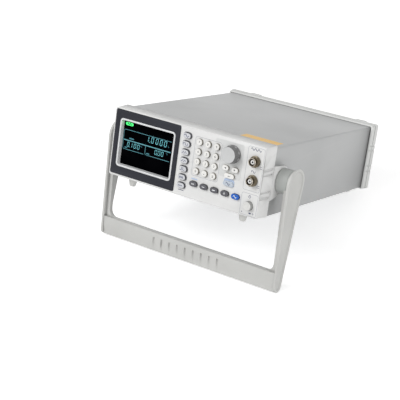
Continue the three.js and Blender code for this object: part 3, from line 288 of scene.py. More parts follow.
def paintedSheet():
    material = surface("paintedSheet", *tones["sheet"], (0.4, 0.47), 9.0, Metallic=0.5)
    return addBump(material, mouldedGrain, 0.35, 0.00006, {"Grain Scale": 1300.0, "Wave Share": 0.25})


def screenGlass():
    material = surface("screenGlass", *tones["glass"], (0.3, 0.36), 60.0, Specular_IOR_Level=0.0)
    return addBump(material, mouldedGrain, 0.03, 0.00002, {"Grain Scale": 500.0})


def litSegment(name, colour, strength):
    # a lit part of the screen: its glow falls and rises a little along each stroke
    material = surface(name, colour, tuple(0.9 * part for part in colour), (0.3, 0.36), 900.0)
    tree = material.node_tree
    shader = tree.nodes["Principled BSDF"]
    marks = next(node for node in tree.nodes if node.type == "GROUP")
    tree.links.new(marks.outputs["Tone"], shader.inputs["Emission Color"])
    shader.inputs["Emission Strength"].default_value = strength
    return material


def printInk(name, colour, worn=None):
    worn = worn or tuple(min(255, part + 8) for part in colour)
    material = surface(name, colour, worn, (0.45, 0.52), 300.0)
    return addBump(material, mouldedGrain, 0.1, 0.00002, {"Grain Scale": 2500.0})


finish = {
    # painted shade in the crevices of the bezel
    "bezel": paintShadeInCrevices(
        roundInShade(plastic("bezelPlastic", "bezel", 2400.0, 0.18, (0.44, 0.52)), 0.0005), 0.002, 0.45),
    "panel": plastic("panelPlastic", "panel", 2600.0, 0.15, (0.4, 0.48), Specular_IOR_Level=0.25),
    "frame": plastic("framePaint", "frame", 2600.0, 0.1, (0.26, 0.34), Metallic=0.15),
    # painted shade: the keys, the button and the knob get the tone after their plastic on their flanks; the
    # clear key has none
    "keyGrey": paintShadeOnWalls(plastic("softKeyPlastic", "keyGrey", 2400.0, 0.15), (62, 62, 68), 0.3, 0.9),
    "keyWhite": paintShadeOnWalls(
        plastic("numberKeyPlastic", "keyWhite", 2400.0, 0.12, (0.4, 0.48)), (132, 128, 118)),
    "keyDark": paintShadeOnWalls(plastic("modeKeyPlastic", "keyDark", 2400.0, 0.15, (0.42, 0.5)), (46, 46, 50)),
    "keyBlue": paintShadeOnWalls(plastic("blueKeyPlastic", "keyBlue", 2400.0, 0.15, (0.4, 0.48)), (6, 52, 128)),
    "button": paintShadeOnWalls(plastic("buttonPlastic", "button", 2400.0, 0.12, (0.4, 0.48)), (150, 150, 148)),
    "keyClear": plastic(
        "clearKey", "keyClear", 1800.0, 0.1, (0.22, 0.3), Transmission_Weight=0.15, Coat_Weight=0.3),
    "knob": paintShadeOnWalls(plastic("knobRubber", "knob", 2000.0, 0.3, (0.5, 0.6)), (112, 112, 112), 0.45, 0.85),
    "sheet": paintedSheet(),
    "steel": metal(
        "platedSteel", "steel", (0.34, 0.46), 30.0, 0.85, (0.2, 0.00003), {"Stretch": (0.05, 1.0, 1.0)}),
    "nickel": metal("nickelPlate", "nickel", (0.2, 0.32), 120.0, 1.0),
    # painted reflection: nickel darkened for the front jacks' shells
    "reflectionNickel": metal("nickelWithPaintedReflection", "reflectionNickel", (0.22, 0.34), 140.0, 1.0),
    # painted shade: the dark sheet inside the jacks' bores
    "boreShadeNickel": metal("boreShadeNickel", "boreShadeNickel", (0.3, 0.42), 160.0, 0.7),
    "gold": metal("goldContact", "gold", (0.25, 0.35), 160.0, 1.0, (0.1, 0.00001), ()),
    "insulator": plastic("jackInsulator", "keyWhite", 3000.0, 0.1, (0.35, 0.42)),
    # painted shade in the crevices of the rear moulding and the handle
    "moulding": paintShadeInCrevices(plastic("rearMoulding", "moulding", 1800.0, 0.35, (0.52, 0.6)), 0.002, 0.5),
    "handle": paintShadeInCrevices(plastic("handleMoulding", "handle", 1700.0, 0.45), 0.004, 0.4),
    "drum": plastic("drumMoulding", "drum", 1900.0, 0.35, (0.52, 0.6)),
    "foot": plastic("footRubber", "foot", 1500.0, 0.4, (0.68, 0.78)),
    "black": plastic("blackPlastic", "black", 2000.0, 0.3, (0.46, 0.56)),
    "board": plastic("boardLacquer", "board", 900.0, 0.5, (0.3, 0.42)),
    "strip": plastic("stripVinyl", "strip", 1500.0, 0.08, (0.34, 0.42)),
    "glass": screenGlass(),
    "teal": litSegment("tealSegment", (120, 205, 215), 0.55),
    "tealLine": litSegment("tealLine", (84, 146, 156), 0.3),
    "tealDim": litSegment("tealDim", (48, 110, 122), 0.35),
    "greenPill": litSegment("greenPill", (70, 235, 120), 0.8),
    "blueInk": printInk("blueInk", (52, 60, 98)),
    "blackInk": printInk("blackInk", (34, 34, 40)),
    # a darker ring drawn round each function key
    "keyRingTone": printInk("keyRingTone", (112, 112, 118)),
    "whiteInk": printInk("whiteInk", (236, 238, 240)),
    "fieldInk": printInk("fieldInk", (223, 224, 223), (220, 221, 220)),
    "edgeInk": printInk("edgeInk", (186, 188, 192)),
    "paleBlueInk": printInk("paleBlueInk", (188, 204, 229)),
}
print("finishes ready:", len(finish))


# Drawing helpers. A loop is a list of (u, v); a form is a bmesh.
def arc(u, v, radius, start, end, steps):
    angles = [math.radians(start + (end - start) * step / steps) for step in range(steps + 1)]
    return [(u + radius * math.cos(angle), v + radius * math.sin(angle)) for angle in angles]


def roundOver(edge, angles):
    # how far in and how far down a quarter round lies at each angle
    turns = [math.radians(angle) for angle in angles]
    return [(edge * (1 - math.cos(turn)), edge * (1 - math.sin(turn))) for turn in turns]


def roundedLoop(u, v, width, height, corner, steps=8):
    reachU, reachV = width / 2 - corner, height / 2 - corner
    points = []
    for index, (signU, signV) in enumerate(((1, 1), (-1, 1), (-1, -1), (1, -1))):
        points += arc(u + signU * reachU, v + signV * reachV, corner, 90 * index, 90 * index + 90, steps)
    return [point for index, point in enumerate(points) if math.dist(point, points[index - 1]) > 1e-4]


def circleLoop(u, v, radius, steps=48):
    return arc(u, v, radius, 0, 360, steps)[:-1]


def atDepth(loop, y):
    return [Vector((u, y, v)) for u, v in loop]


def skin(rings, form=None, caps=True, closed=False):
    # joins rings with equal point counts; closed runs the last ring back to the first
    form = form or bmesh.new()
    rows = [[form.verts.new(point) for point in ring] for ring in rings]
    for first, second in zip(rows, rows[1:] + (rows[:1] if closed else [])):
        for index in range(len(first)):
            following = (index + 1) % len(first)
            form.faces.new((first[index], first[following], second[following], second[index]))
    if caps and not closed:
        form.faces.new(list(reversed(rows[0])))
        form.faces.new(rows[-1])
    bmesh.ops.recalc_face_normals(form, faces=form.faces)
    return form


def turnForm(profile, u=0, v=0, segments=48):
    # turned about the y axis; the profile is (radius, y) and its ends lie on the axis
    form = bmesh.new()
    rows = []
    for radius, y in profile:
        points = atDepth(circleLoop(u, v, radius, segments), y) if radius else [(u, y, v)]
        rows.append([form.verts.new(point) for point in points])
    for first, second in zip(rows, rows[1:]):
        for index in range(segments):
            following = (index + 1) % segments
            corners = [first[index % len(first)], first[following % len(first)],
                       second[following % len(second)], second[index % len(second)]]
            unique = list(dict.fromkeys(corners))
            if len(unique) > 2:
                form.faces.new(unique)
    bmesh.ops.recalc_face_normals(form, faces=form.faces)
    return form


def ribbon(points, width, y, form=None):
    # a flat stroke of even width along a row of points on the face at depth y
    form = form or bmesh.new()
    left, right = [], []
    for index, point in enumerate(points):
        before = Vector(points[max(index - 1, 0)])
        after = Vector(points[min(index + 1, len(points) - 1)])
        along = (after - before).normalized()
        across = Vector((-along.y, along.x)) * width / 2
        here = Vector(point)
        left.append(form.verts.new((here.x + across.x, y, here.y + across.y)))
        right.append(form.verts.new((here.x - across.x, y, here.y - across.y)))
    for index in range(len(points) - 1):
        form.faces.new((left[index], right[index], right[index + 1], left[index + 1]))
    return form


def flatShape(loop, y, form=None):
    form = form or bmesh.new()
    form.faces.new([form.verts.new(point) for point in atDepth(loop, y)])
    return form


def outlineShape(loop, width, y, form=None):
    # a closed line of even width, drawn inwards from the loop
    form = form or bmesh.new()
    count = len(loop)
    centre = Vector((sum(u for u, v in loop) / count, sum(v for u, v in loop) / count))
    inner = []
    for index, point in enumerate(loop):
        along = (Vector(loop[(index + 1) % count]) - Vector(loop[index - 1])).normalized()
        across = Vector((-along.y, along.x))
        if across.dot(centre - Vector(point)) < 0:
            across = -across
        inner.append((point[0] + across.x * width, point[1] + across.y * width))
    outerVerts = [form.verts.new(point) for point in atDepth(loop, y)]
    innerVerts = [form.verts.new(point) for point in atDepth(inner, y)]
    for index in range(count):
        following = (index + 1) % count
        form.faces.new((outerVerts[index], outerVerts[following], innerVerts[following], innerVerts[index]))
    return form


def finishPiece(mesh, name, material, body, replaced=(), smooth=35.0):
    # mesh is in the row frame; it is shaded, linked and set to ride, and the nodes it replaces are hidden
    if not mesh.materials:
        mesh.materials.append(finish[material])
    mesh.shade_smooth()
    mesh.set_sharp_from_angle(angle=math.radians(smooth))
    piece = bpy.data.objects.new(name, mesh)
    scene.collection.objects.link(piece)
    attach(piece, body)
    if replaced:
        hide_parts(*replaced)


def meshOf(form, name):
    mesh = bpy.data.meshes.new(name)
    form.to_mesh(mesh)
    form.free()
    return mesh


def formPiece(form, name, material, body, replaced=(), smooth=35.0):
    mesh = meshOf(form, name)
    mesh.transform(caseMatrix)
    finishPiece(mesh, name, material, body, replaced, smooth)


def printPiece(form, name, ink, body="case", smooth=35.0):
    # flat prints face the front
    for face in form.faces:
        face.normal_update()
        if face.normal.y > 0:
            face.normal_flip()
    formPiece(form, name, ink, body, smooth=smooth)


def settledMesh(piece, name):
    # the evaluated result of a piece's modifiers as a plain mesh; the piece itself goes
    bpy.context.view_layer.update()
    evaluated = piece.evaluated_get(bpy.context.evaluated_depsgraph_get())
    mesh = bpy.data.meshes.new_from_object(evaluated)
    mesh.name = name
    old = piece.data
    bpy.data.objects.remove(piece)
    if old.users == 0:
        (bpy.data.curves if isinstance(old, bpy.types.Curve) else bpy.data.meshes).remove(old)
    return mesh


# Solids that keep their shape and get rounded edges; angles below the crease are shaded as one
softening = {"weld": 2e-6, "flat": 0.6, "corner": 38, "crease": 50}


def softenedCopy(node, name, material, body, edge, segments, reshape=None):
    # the node's own solid with its flat faces made whole and its edges rounded
    form = bmesh.new()
    form.from_mesh(nodes[node].data)
    if reshape:
        reshape(form)
    bmesh.ops.remove_doubles(form, verts=form.verts[:], dist=softening["weld"])
    bmesh.ops.dissolve_limit(
        form, angle_limit=math.radians(softening["flat"]), verts=form.verts[:], edges=form.edges[:])
    piece = bpy.data.objects.new(name, meshOf(form, name))
    scene.collection.objects.link(piece)
    if edge:
        bevel = piece.modifiers.new("roundedEdges", "BEVEL")
        bevel.width = edge * 0.001
        bevel.segments = segments
        bevel.limit_method = "ANGLE"
        bevel.angle_limit = math.radians(softening["corner"])
        bevel.use_clamp_overlap = True
    finishPiece(settledMesh(piece, name), name, material, body, (node,), softening["crease"])


# Camera, floor and light
camera = {
    "place": (0.7416, -1.1012, 0.8039), "aim": (0.01998, -0.13677, 0.09036), "roll": 3.40, "lens": 104.7,
    "sensor": 36, "reach": 20,
}
light = {
    "worldLevel": 0.45, "keyPower": 31.0, "keyPlace": (-0.9, -1.5, 2.0), "keySize": 1.3,
    "fillPower": 11.0, "fillPlace": (1.9, -0.4, 0.8), "fillSize": 1.2, "aim": (0, 0, 0.08),
}
paper = {"span": 12.0, "drop": 0.0004, "tone": 0.86, "glow": 0.54}


def standCamera():
    data = bpy.data.cameras.new("studioCamera")
    data.lens = camera["lens"]
    data.sensor_width = camera["sensor"]
    data.clip_end = camera["reach"]
    viewer = bpy.data.objects.new("studioCamera", data)
    scene.collection.objects.link(viewer)
    place = Vector(camera["place"])
    ahead = (Vector(camera["aim"]) - place).normalized()
    right = ahead.cross(Vector((0, 0, 1))).normalized()
    turn = Matrix((right, right.cross(ahead), -ahead)).transposed().to_4x4()
    roll = Matrix.Rotation(-math.radians(camera["roll"]), 4, "Z")
    viewer.matrix_world = Matrix.Translation(place) @ turn @ roll
    scene.camera = viewer


def seenRays(tree):
    # 1 for rays that show the background: to the camera, off gloss and through clear material
    path = addNode(tree, "ShaderNodeLightPath").outputs
    mask = path["Is Camera Ray"]
    for kind in ("Is Glossy Ray", "Is Transmission Ray"):
        mask = addNode(tree, "ShaderNodeMath", {0: mask, 1: path[kind]}, operation="MAXIMUM").outputs[0]
    return mask


def setWorld():
    world = bpy.data.worlds.new("studioWorld")
    scene.world = world
    world.use_nodes = True
    tree = world.node_tree
    background = tree.nodes["Background"]
    background.inputs["Color"].default_value = (1, 1, 1, 1)
    level = mixOf(tree, seenRays(tree), light["worldLevel"], 1.0, "FLOAT")
    tree.links.new(level, background.inputs["Strength"])


def softBox(name, power, place, size):
    data = bpy.data.lights.new(name, "AREA")
    data.energy = power
    data.size = size
    lamp = bpy.data.objects.new(name, data)
    scene.collection.objects.link(lamp)
    lamp.location = place
    lamp.rotation_euler = (Vector(light["aim"]) - Vector(place)).to_track_quat("-Z", "Y").to_euler()


def layFloor():
    form = bmesh.new()
    bmesh.ops.create_grid(form, x_segments=1, y_segments=1, size=paper["span"] / 2)
    mesh = meshOf(form, "studioFloor")
    floor = bpy.data.objects.new("studioFloor", mesh)
    floor.location.z = -paper["drop"]
    scene.collection.objects.link(floor)
    material = bpy.data.materials.new("floorPaper")
    material.use_nodes = True
    tree = material.node_tree
    shader = tree.nodes["Principled BSDF"]
    shader.inputs["Base Color"].default_value = (paper["tone"], paper["tone"], paper["tone"], 1)
    shader.inputs["Roughness"].default_value = 0.9
    shader.inputs["Specular IOR Level"].default_value = 0.1
    shader.inputs["Emission Color"].default_value = (1, 1, 1, 1)
    glow = addNode(tree, "ShaderNodeMath", {0: seenRays(tree), 1: paper["glow"]}, operation="MULTIPLY")
    tree.links.new(glow.outputs[0], shader.inputs["Emission Strength"])
    mesh.materials.append(material)


standCamera()
setWorld()
softBox("keyBox", light["keyPower"], light["keyPlace"], light["keySize"])
softBox("fillBox", light["fillPower"], light["fillPlace"], light["fillSize"])
layFloor()
scene.view_settings.view_transform = "Standard"
print("studio ready")


# Casings: node, piece, finish, body, rounding of the edges in mm and its segments
casings = [
    ("front_bezel", "front_bezel_shell", "bezel", "case", 0, 0),
    ("display_panel", "display_panel_plate", "panel", "case", 0.2, 2),
    ("top_cover", "top_cover_sheet", "sheet", "case", 0.25, 2),
    ("bottom_tray", "bottom_tray_sheet", "steel", "case", 0.15, 1),
    ("rear_panel", "rear_panel_sheet", "steel", "case", 0.15, 1),
    ("mains_inlet", "mains_inlet_body", "black", "case", 0.25, 2),
    ("usb_port", "usb_port_shell", "nickel", "case", 0.15, 1),
    ("front_foot_left", "front_foot_left_pad", "foot", "case", 0.6, 3),
    ("front_foot_right", "front_foot_right_pad", "foot", "case", 0.6, 3),
    ("handle", "handle_moulding", "handle", "handle", 0.55, 3),
]
for casing in casings:
    softenedCopy(*casing)

# The rear ring narrows towards the front, by these amounts at each depth behind its front edge
ringTaper = {
    "depths": (0.0, 0.6, 5.4, 13.0), "sides": (2.7, 2.3, 0.9, 0.0), "tops": (1.6, 1.3, 0.5, 0.0),
    "sideReach": 2.5, "topReach": 1.4, "pocket": 0.8, "pocketDepth": 0.3,
}


def taperAt(depth, amounts):
    depths = ringTaper["depths"]
    if depth >= depths[-1]:
        return 0.0
    depth = max(depth, 0)
    index = max(i for i in range(len(depths) - 1) if depths[i] <= depth)
    share = (depth - depths[index]) / (depths[index + 1] - depths[index])
    return amounts[index] + (amounts[index + 1] - amounts[index]) * share


def taperRing(form):
    low, high = caseBox("rear_bezel")
    for vertex in form.verts:
        point = rowToCase @ vertex.co
        depth = point.y - low.y
        side = abs(point.x)
        if side > high.x - ringTaper["sideReach"]:
            point.x -= math.copysign(taperAt(depth, ringTaper["sides"]), point.x)
        elif side > high.x - 2 * ringTaper["sideReach"] and depth < ringTaper["pocketDepth"]:
            point.x -= math.copysign(ringTaper["pocket"], point.x)
        if point.z > high.z - ringTaper["topReach"]:
            point.z -= taperAt(depth, ringTaper["tops"])
        vertex.co = caseMatrix @ point


softenedCopy("rear_bezel", "rear_bezel_ring", "moulding", "case", 0.4, 2, taperRing)
print("casings ready")

# Inner nodes keep their solids and get a finish
innerFinishes = {
    "board": ("front_board", "main_board", "power_board"), "steel": ("encoder", "encoder_shaft"),
    "black": ("power_switch", "fan_housing", "fan_rotor"), "drum": ("pivot_boss_left", "pivot_boss_right"),
}
for material, inner in innerFinishes.items():
    for node in inner:
        nodes[node].data.materials.clear()
        nodes[node].data.materials.append(finish[material])

# Handle drums, turned about the hinge
drum = {"edge": 0.9, "lip": 1.6, "seam": 0.35, "seamSet": 2.2, "seamHalf": 0.4, "seamFloor": 0.2}
quarterTurn = (0, 22, 45, 68, 90)


def handleDrum(side, name, node):
    low, high = caseBox(node)
    radius = (high.z - low.z) / 2
    inner, outer = (high.x, low.x) if side < 0 else (low.x, high.x)
    step = 1 if outer > inner else -1
    edge = roundOver(drum["edge"], quarterTurn)
    profile = [(0, inner), (radius - drum["lip"], inner)]
    profile += [(radius - down, inner + step * inwards) for inwards, down in edge]
    for shift, sink in ((-drum["seamHalf"], 0), (-drum["seamFloor"], drum["seam"]),
                        (drum["seamFloor"], drum["seam"]), (drum["seamHalf"], 0)):
        profile.append((radius - sink, outer - step * (drum["seamSet"] - shift)))
    form = turnForm(profile + [(radius, outer), (0, outer)], segments=64)
    turn = Matrix(((0, 1, 0, 0), (1, 0, 0, pivot["y"]), (0, 0, 1, pivot["z"]), (0, 0, 0, 1)))
    bmesh.ops.transform(form, matrix=turn, verts=form.verts)
    bmesh.ops.recalc_face_normals(form, faces=form.faces)
    formPiece(form, name, "drum", "handle", (node,), 40)


handleDrum(-1, "hub_drum_left_cap", "hub_drum_left")
handleDrum(1, "hub_drum_right_cap", "hub_drum_right")

# Display: frame, screen and what it shows
display = {
    "flange": 2.0, "corner": 4.4, "leastCorner": 0.4, "rim": 2.2, "rimSlope": 0.7, "round": 0.5, "proud": 0.5,
    "back": 4.7, "steps": 10, "glassSet": 0.15, "contentLift": 0.06,
}


def displayLoop(growth):
    low, high = caseBox("display_frame")
    width = high.x - low.x - 2 * display["flange"] + 2 * growth
    height = high.z - low.z - 2 * display["flange"] + 2 * growth
    corner = max(display["corner"] + growth, display["leastCorner"])
    return roundedLoop(*faceMiddle(low, high), width, height, corner, display["steps"])


def displayFrame():
    rim, front = display["rim"], -display["proud"]
    edge = roundOver(display["round"], (0, 30, 60, 90))
    section = [(0, display["back"])] + [(-inwards, front + down) for inwards, down in edge]
    section += [(-rim + inwards, front + down) for inwards, down in reversed(edge)]
    section.append((-rim - display["rimSlope"], display["back"]))
    rings = [atDepth(displayLoop(growth), y) for growth, y in section]
    formPiece(skin(rings, closed=True), "display_frame_rim", "frame", "case", ("display_frame",))


def displayScreen():
    low, high = caseBox("lcd_module")
    front = low.y + display["glassSet"]
    rings = [atDepth(displayLoop(0), front), atDepth(displayLoop(0), high.y)]
    formPiece(skin(rings), "display_glass", "glass", "case", ("lcd_module",))
    return front


segmentsOf = dict(zip("0123456789", (
    "abcdef", "bc", "abdeg", "abcdg", "bcfg", "acdfg", "acdefg", "abc", "abcdefg", "abcdfg")))
segment = {"gapShare": 0.32, "slant": 0.1, "dotShare": 0.8}
readings = {
    "main": {"text": "1.0000", "places": (-58.8, -52.9, -46.0, -39.6, -33.2), "base": 51.8, "height": 6.7,
             "width": 3.1, "stroke": 0.48, "dotShift": 0.6},
    "left": {"text": "0.100", "places": (-88.4, -82.5, -78.1, -72.7), "base": 39.0, "height": 5.6,
             "width": 2.7, "stroke": 0.42, "dotShift": 1.3},
    "right": {"text": "0.00", "places": (-46.0, -41.1, -36.2), "base": 39.0, "height": 5.6,
              "width": 2.7, "stroke": 0.42, "dotShift": 0.9},
}
screenLines = {
    "left": -96.4, "right": -24.3, "top": 59.7, "divider": 46.7, "bottom": 35.1, "split": -61.8, "gap": 2.0,
    "thin": 0.5, "thick": 1.2, "corner": 2.5, "lift": 0.01,
}
# a tag is its middle, width and height; a wave is its middle
screenMark = {
    "tags": ((-84.0, 49.6, 7.0, 1.7), (-91.4, 37.4, 4.0, 1.5), (-57.3, 37.1, 4.6, 1.5)), "tagCorner": 0.5,
    "waves": ((-28.0, 52.6), (-68.2, 43.6), (-29.3, 43.6)), "waveReach": 1.1, "waveRise": 1.0,
    "waveStroke": 0.4,
}
pill = {
    "u": -89.4, "v": 67.2, "width": 11.8, "height": 3.9, "waveStart": -92.6, "waveLength": 6.4,
    "waveHeight": 1.0, "stroke": 0.75, "lift": 0.03,
}


def segmentDigit(form, digit, u, reading, y):
    stroke, width, height = (reading[size] for size in ("stroke", "width", "height"))
    left, right, middle = -width / 2, width / 2, height / 2
    bars = {
        "a": ((left, height), (right, height)), "b": ((right, height), (right, middle)),
        "c": ((right, middle), (right, 0)), "d": ((left, 0), (right, 0)), "e": ((left, middle), (left, 0)),
        "f": ((left, height), (left, middle)), "g": ((left, middle), (right, middle)),
    }
    if digit == "1":
        u -= width / 2
    for letter in segmentsOf[digit]:
        start, end = (Vector(corner) for corner in bars[letter])
        along = (end - start).normalized()
        side = Vector((-along.y, along.x)) * stroke / 2
        gap = along * stroke * segment["gapShare"]
        start, end = start + gap, end - gap
        tip = along * stroke / 2
        points = [start, start + tip + side, end - tip + side, end, end - tip - side, start + tip - side]
        form.faces.new([form.verts.new((u + p.x + segment["slant"] * p.y, y, reading["base"] + p.y))
                        for p in points])


def readingForm(form, reading, y):
    digits = reading["text"].replace(".", "")
    for digit, place in zip(digits, reading["places"]):
        segmentDigit(form, digit, place, reading, y)
    dotAfter = reading["text"].index(".") - 1
    dotAt = reading["places"][dotAfter] + reading["width"] / 2 + reading["dotShift"]
    flatShape(circleLoop(dotAt, reading["base"], reading["stroke"] * segment["dotShare"], 12), y, form)


def screenContent(y):
    lit = bmesh.new()
    for reading in readings.values():
        readingForm(lit, reading, y)
    printPiece(lit, "screen_digits", "teal")

    left, right, divider, corner = (screenLines[name] for name in ("left", "right", "divider", "corner"))
    top, bottom, split, thin = (screenLines[name] for name in ("top", "bottom", "split", "thin"))
    lines = bmesh.new()
    upper = arc(left + corner, top - corner, corner, 180, 90, 6)
    lower = arc(left + corner, bottom + corner, corner, 180, 270, 6)
    lowerRight = arc(split + corner, bottom + corner, corner, 180, 270, 6)
    ribbon([(left, divider)] + upper + [(right, top)], thin, y, lines)
    ribbon([(left, divider)] + lower + [(split - screenLines["gap"], bottom)], thin, y, lines)
    ribbon([(split, divider)] + lowerRight + [(right, bottom)], thin, y, lines)
    ribbon([(left, divider), (right, divider)], screenLines["thick"], y - screenLines["lift"], lines)
    printPiece(lines, "screen_lines", "tealLine")

    tags = bmesh.new()
    for tag in screenMark["tags"]:
        flatShape(roundedLoop(*tag, screenMark["tagCorner"], 3), y, tags)
    reach, rise = screenMark["waveReach"], screenMark["waveRise"]
    for u, v in screenMark["waves"]:
        crest, trough = (u - reach / 2, v + rise), (u + reach / 2, v - rise)
        ribbon([(u - reach, v), crest, (u, v), trough, (u + reach, v)], screenMark["waveStroke"], y, tags)
    printPiece(tags, "screen_tags", "tealDim")

    body = roundedLoop(pill["u"], pill["v"], pill["width"], pill["height"], pill["height"] / 2)
    printPiece(flatShape(body, y), "screen_pill", "greenPill")
    wave = [(pill["waveStart"] + pill["waveLength"] * i / 24,
             pill["v"] + pill["waveHeight"] * math.sin(i / 24 * 4 * math.pi)) for i in range(25)]
    printPiece(ribbon(wave, pill["stroke"], y - pill["lift"]), "screen_pill_wave", "glass")


displayFrame()
glassFront = displayScreen()
screenContent(glassFront - display["contentLift"])
print("display ready")

# Keys: rounded caps cut from the size of their solids, ends a hair short of a half circle
keyForm = {
    "flange": 0.7, "edge": 0.6, "back": 3.0, "endGap": 0.01, "inkLift": 0.03, "ringGap": 0.35,
    "ringWidth": 0.6, "ringLift": 0.02,
}
glyph = {
    "stroke": 0.72, "returnStroke": 0.45, "ringStroke": 0.42, "signStroke": 0.4, "minusStroke": 0.5,
    "lift": 0.005, "pointDrop": 0.6, "signRise": 0.4, "signReach": 0.9, "signDrop": 1.2,
}


def pillLoop(u, v, width, height):
    return roundedLoop(u, v, width, height, height / 2 - keyForm["endGap"], 10)


def keyCap(node):
    low, high = caseBox(node)
    width = high.x - low.x - 2 * keyForm["flange"]
    height = high.z - low.z - 2 * keyForm["flange"]
    u, v = faceMiddle(low, high)
    rings = [atDepth(pillLoop(u, v, width, height), keyForm["back"])]
    for inset, down in roundOver(keyForm["edge"], quarterTurn):
        rings.append(atDepth(pillLoop(u, v, width - 2 * inset, height - 2 * inset), low.y + down))
    return skin(rings), u, v, low.y - keyForm["inkLift"]


def triangle(corners, y, form=None):
    form = form or bmesh.new()
    form.faces.new([form.verts.new((u, y, v)) for u, v in corners])
    return form


# Marks on the keys: each is drawn at (u, v) on the face at depth y, in a given size
def glyphSine(u, v, y, size, form=None):
    points = [(u + size * (i / 20 - 0.5), v + size * 0.26 * math.sin(i / 20 * 2 * math.pi))
              for i in range(21)]
    return ribbon(points, glyph["stroke"], y, form)


def glyphLine(points):
    def draw(u, v, y, size, form=None):
        return ribbon([(u + size * pu, v + size * pv) for pu, pv in points], glyph["stroke"], y, form)
    return draw


def glyphBars(count):
    def draw(u, v, y, size):
        form = bmesh.new()
        for index in range(count):
            shift = (index - (count - 1) / 2) * size / count
            ribbon([(u + shift, v - size * 0.2), (u + shift, v + size * 0.2)], glyph["stroke"], y, form)
        return form
    return draw


def glyphDots(u, v, y, size):
    form = bmesh.new()
    for shift in (-1, 0, 1):
        flatShape(circleLoop(u + shift * size * 0.3, v, glyph["stroke"], 12), y, form)
    return form


def glyphArrow(direction):
    def draw(u, v, y, size):
        tip = direction * size * 0.28
        return triangle([(u + tip, v), (u - tip * 0.8, v + size * 0.24), (u - tip * 0.8, v - size * 0.24)], y)
    return draw


def glyphReturn(u, v, y, size):
    right, low = u + size * 0.3, v - size * 0.06
    form = ribbon([(right, v + size * 0.16), (right, low), (u - size * 0.12, low)], glyph["returnStroke"], y)
    head = [(u - size * 0.32, low), (u - size * 0.1, v + size * 0.06), (u - size * 0.1, v - size * 0.18)]
    return triangle(head, y, form)


def glyphRing(u, v, y, size, form=None):
    form = outlineShape(circleLoop(u, v, size * 0.24, 24), glyph["ringStroke"], y, form)
    return ribbon(
        [(u, v + size * 0.02), (u, v + size * 0.34)], glyph["ringStroke"], y - glyph["lift"], form)


def glyphPoint(u, v, y, size):
    return flatShape(circleLoop(u, v - glyph["pointDrop"], size, 14), y)


def glyphSign(u, v, y, size):
    plus, minus, reach = v + glyph["signRise"], v - glyph["signDrop"], glyph["signReach"]
    form = ribbon([(u - size, plus), (u + size, plus)], glyph["signStroke"], y)
    ribbon([(u, plus - reach), (u, plus + reach)], glyph["signStroke"], y - glyph["lift"], form)
    return ribbon([(u - size, minus), (u + size, minus)], glyph["minusStroke"], y, form)


def glyphFigure(letter):
    # a plain figure, made a mesh before it is placed
    def draw(u, v, y, size):
        curve = bpy.data.curves.new("figure", "FONT")
        curve.body = letter
        curve.size = size
        curve.align_x = "CENTER"
        curve.align_y = "CENTER"
        figure = bpy.data.objects.new("figure", curve)
        scene.collection.objects.link(figure)
        mesh = settledMesh(figure, "figure")
        mesh.transform(Matrix.Translation((u, y, v)) @ Matrix.Rotation(math.radians(90), 4, "X"))
        form = bmesh.new()
        form.from_mesh(mesh)
        bpy.data.meshes.remove(mesh)
        return form
    return draw


glyphSquare = glyphLine([(-0.5, -0.2), (-0.5, 0.2), (-0.02, 0.2), (0.0, -0.2), (0.48, -0.2), (0.5, 0.2)])
functionGlyphs = [
    glyphSine,
    glyphSquare,
    glyphLine([(-0.5, -0.22), (-0.25, 0.22), (0.0, -0.22), (0.25, 0.22), (0.5, -0.22)]),
    glyphLine([(-0.5, -0.2), (-0.02, 0.22), (0.0, -0.2), (0.48, 0.22), (0.5, -0.2)]),
    glyphLine([(-0.5, -0.2), (-0.16, -0.2), (-0.14, 0.24), (0.14, 0.24), (0.16, -0.2), (0.5, -0.2)]),
    glyphBars(5),
    glyphDots,
]
modeGlyphs = [glyphBars(3), glyphLine([(-0.4, 0.0), (0.4, 0.0)]), glyphDots, glyphRing, glyphSine]


def makeKey(node, draw, size, material="keyWhite", ink="blackInk", shift=0.0):
    form, u, v, y = keyCap(node)
    formPiece(form, node + "_cap", material, node, (node,), 50)
    printPiece(draw(u + shift, v, y, size), node + "_mark", ink, node, 30)


# a darker ring drawn round each function key
keyRings = bmesh.new()
for index, draw in enumerate(functionGlyphs):
    node = f"key_function_{index + 1}"
    makeKey(node, draw, size=6.2, material="keyGrey", ink="blueInk", shift=-0.3)
    low, high = caseBox(node)
    grow = 2 * (keyForm["ringGap"] + keyForm["ringWidth"] - keyForm["flange"])
    loop = pillLoop(*faceMiddle(low, high), high.x - low.x + grow, high.z - low.z + grow)
    outlineShape(loop, keyForm["ringWidth"], -keyForm["ringLift"], keyRings)
printPiece(keyRings, "key_rings", "keyRingTone")
for digit in "7894561230":
    makeKey(f"key_digit_{digit}", glyphFigure(digit), size=4.0)
makeKey("key_point", glyphPoint, size=0.5)
makeKey("key_sign", glyphSign, size=1.1)
makeKey("key_arrow_left", glyphArrow(-1), size=4.6)
makeKey("key_arrow_right", glyphArrow(1), size=4.6)
makeKey("key_enter", glyphReturn, size=5.4)
makeKey("key_output", glyphSine, size=5.5, material="keyClear", ink="blueInk")
for index, draw in enumerate(modeGlyphs):
    tone = "keyBlue" if draw is glyphSine else "keyDark"
    makeKey(f"key_mode_{index + 1}", draw, size=4.6, material=tone, ink="whiteInk")
print("keys ready")

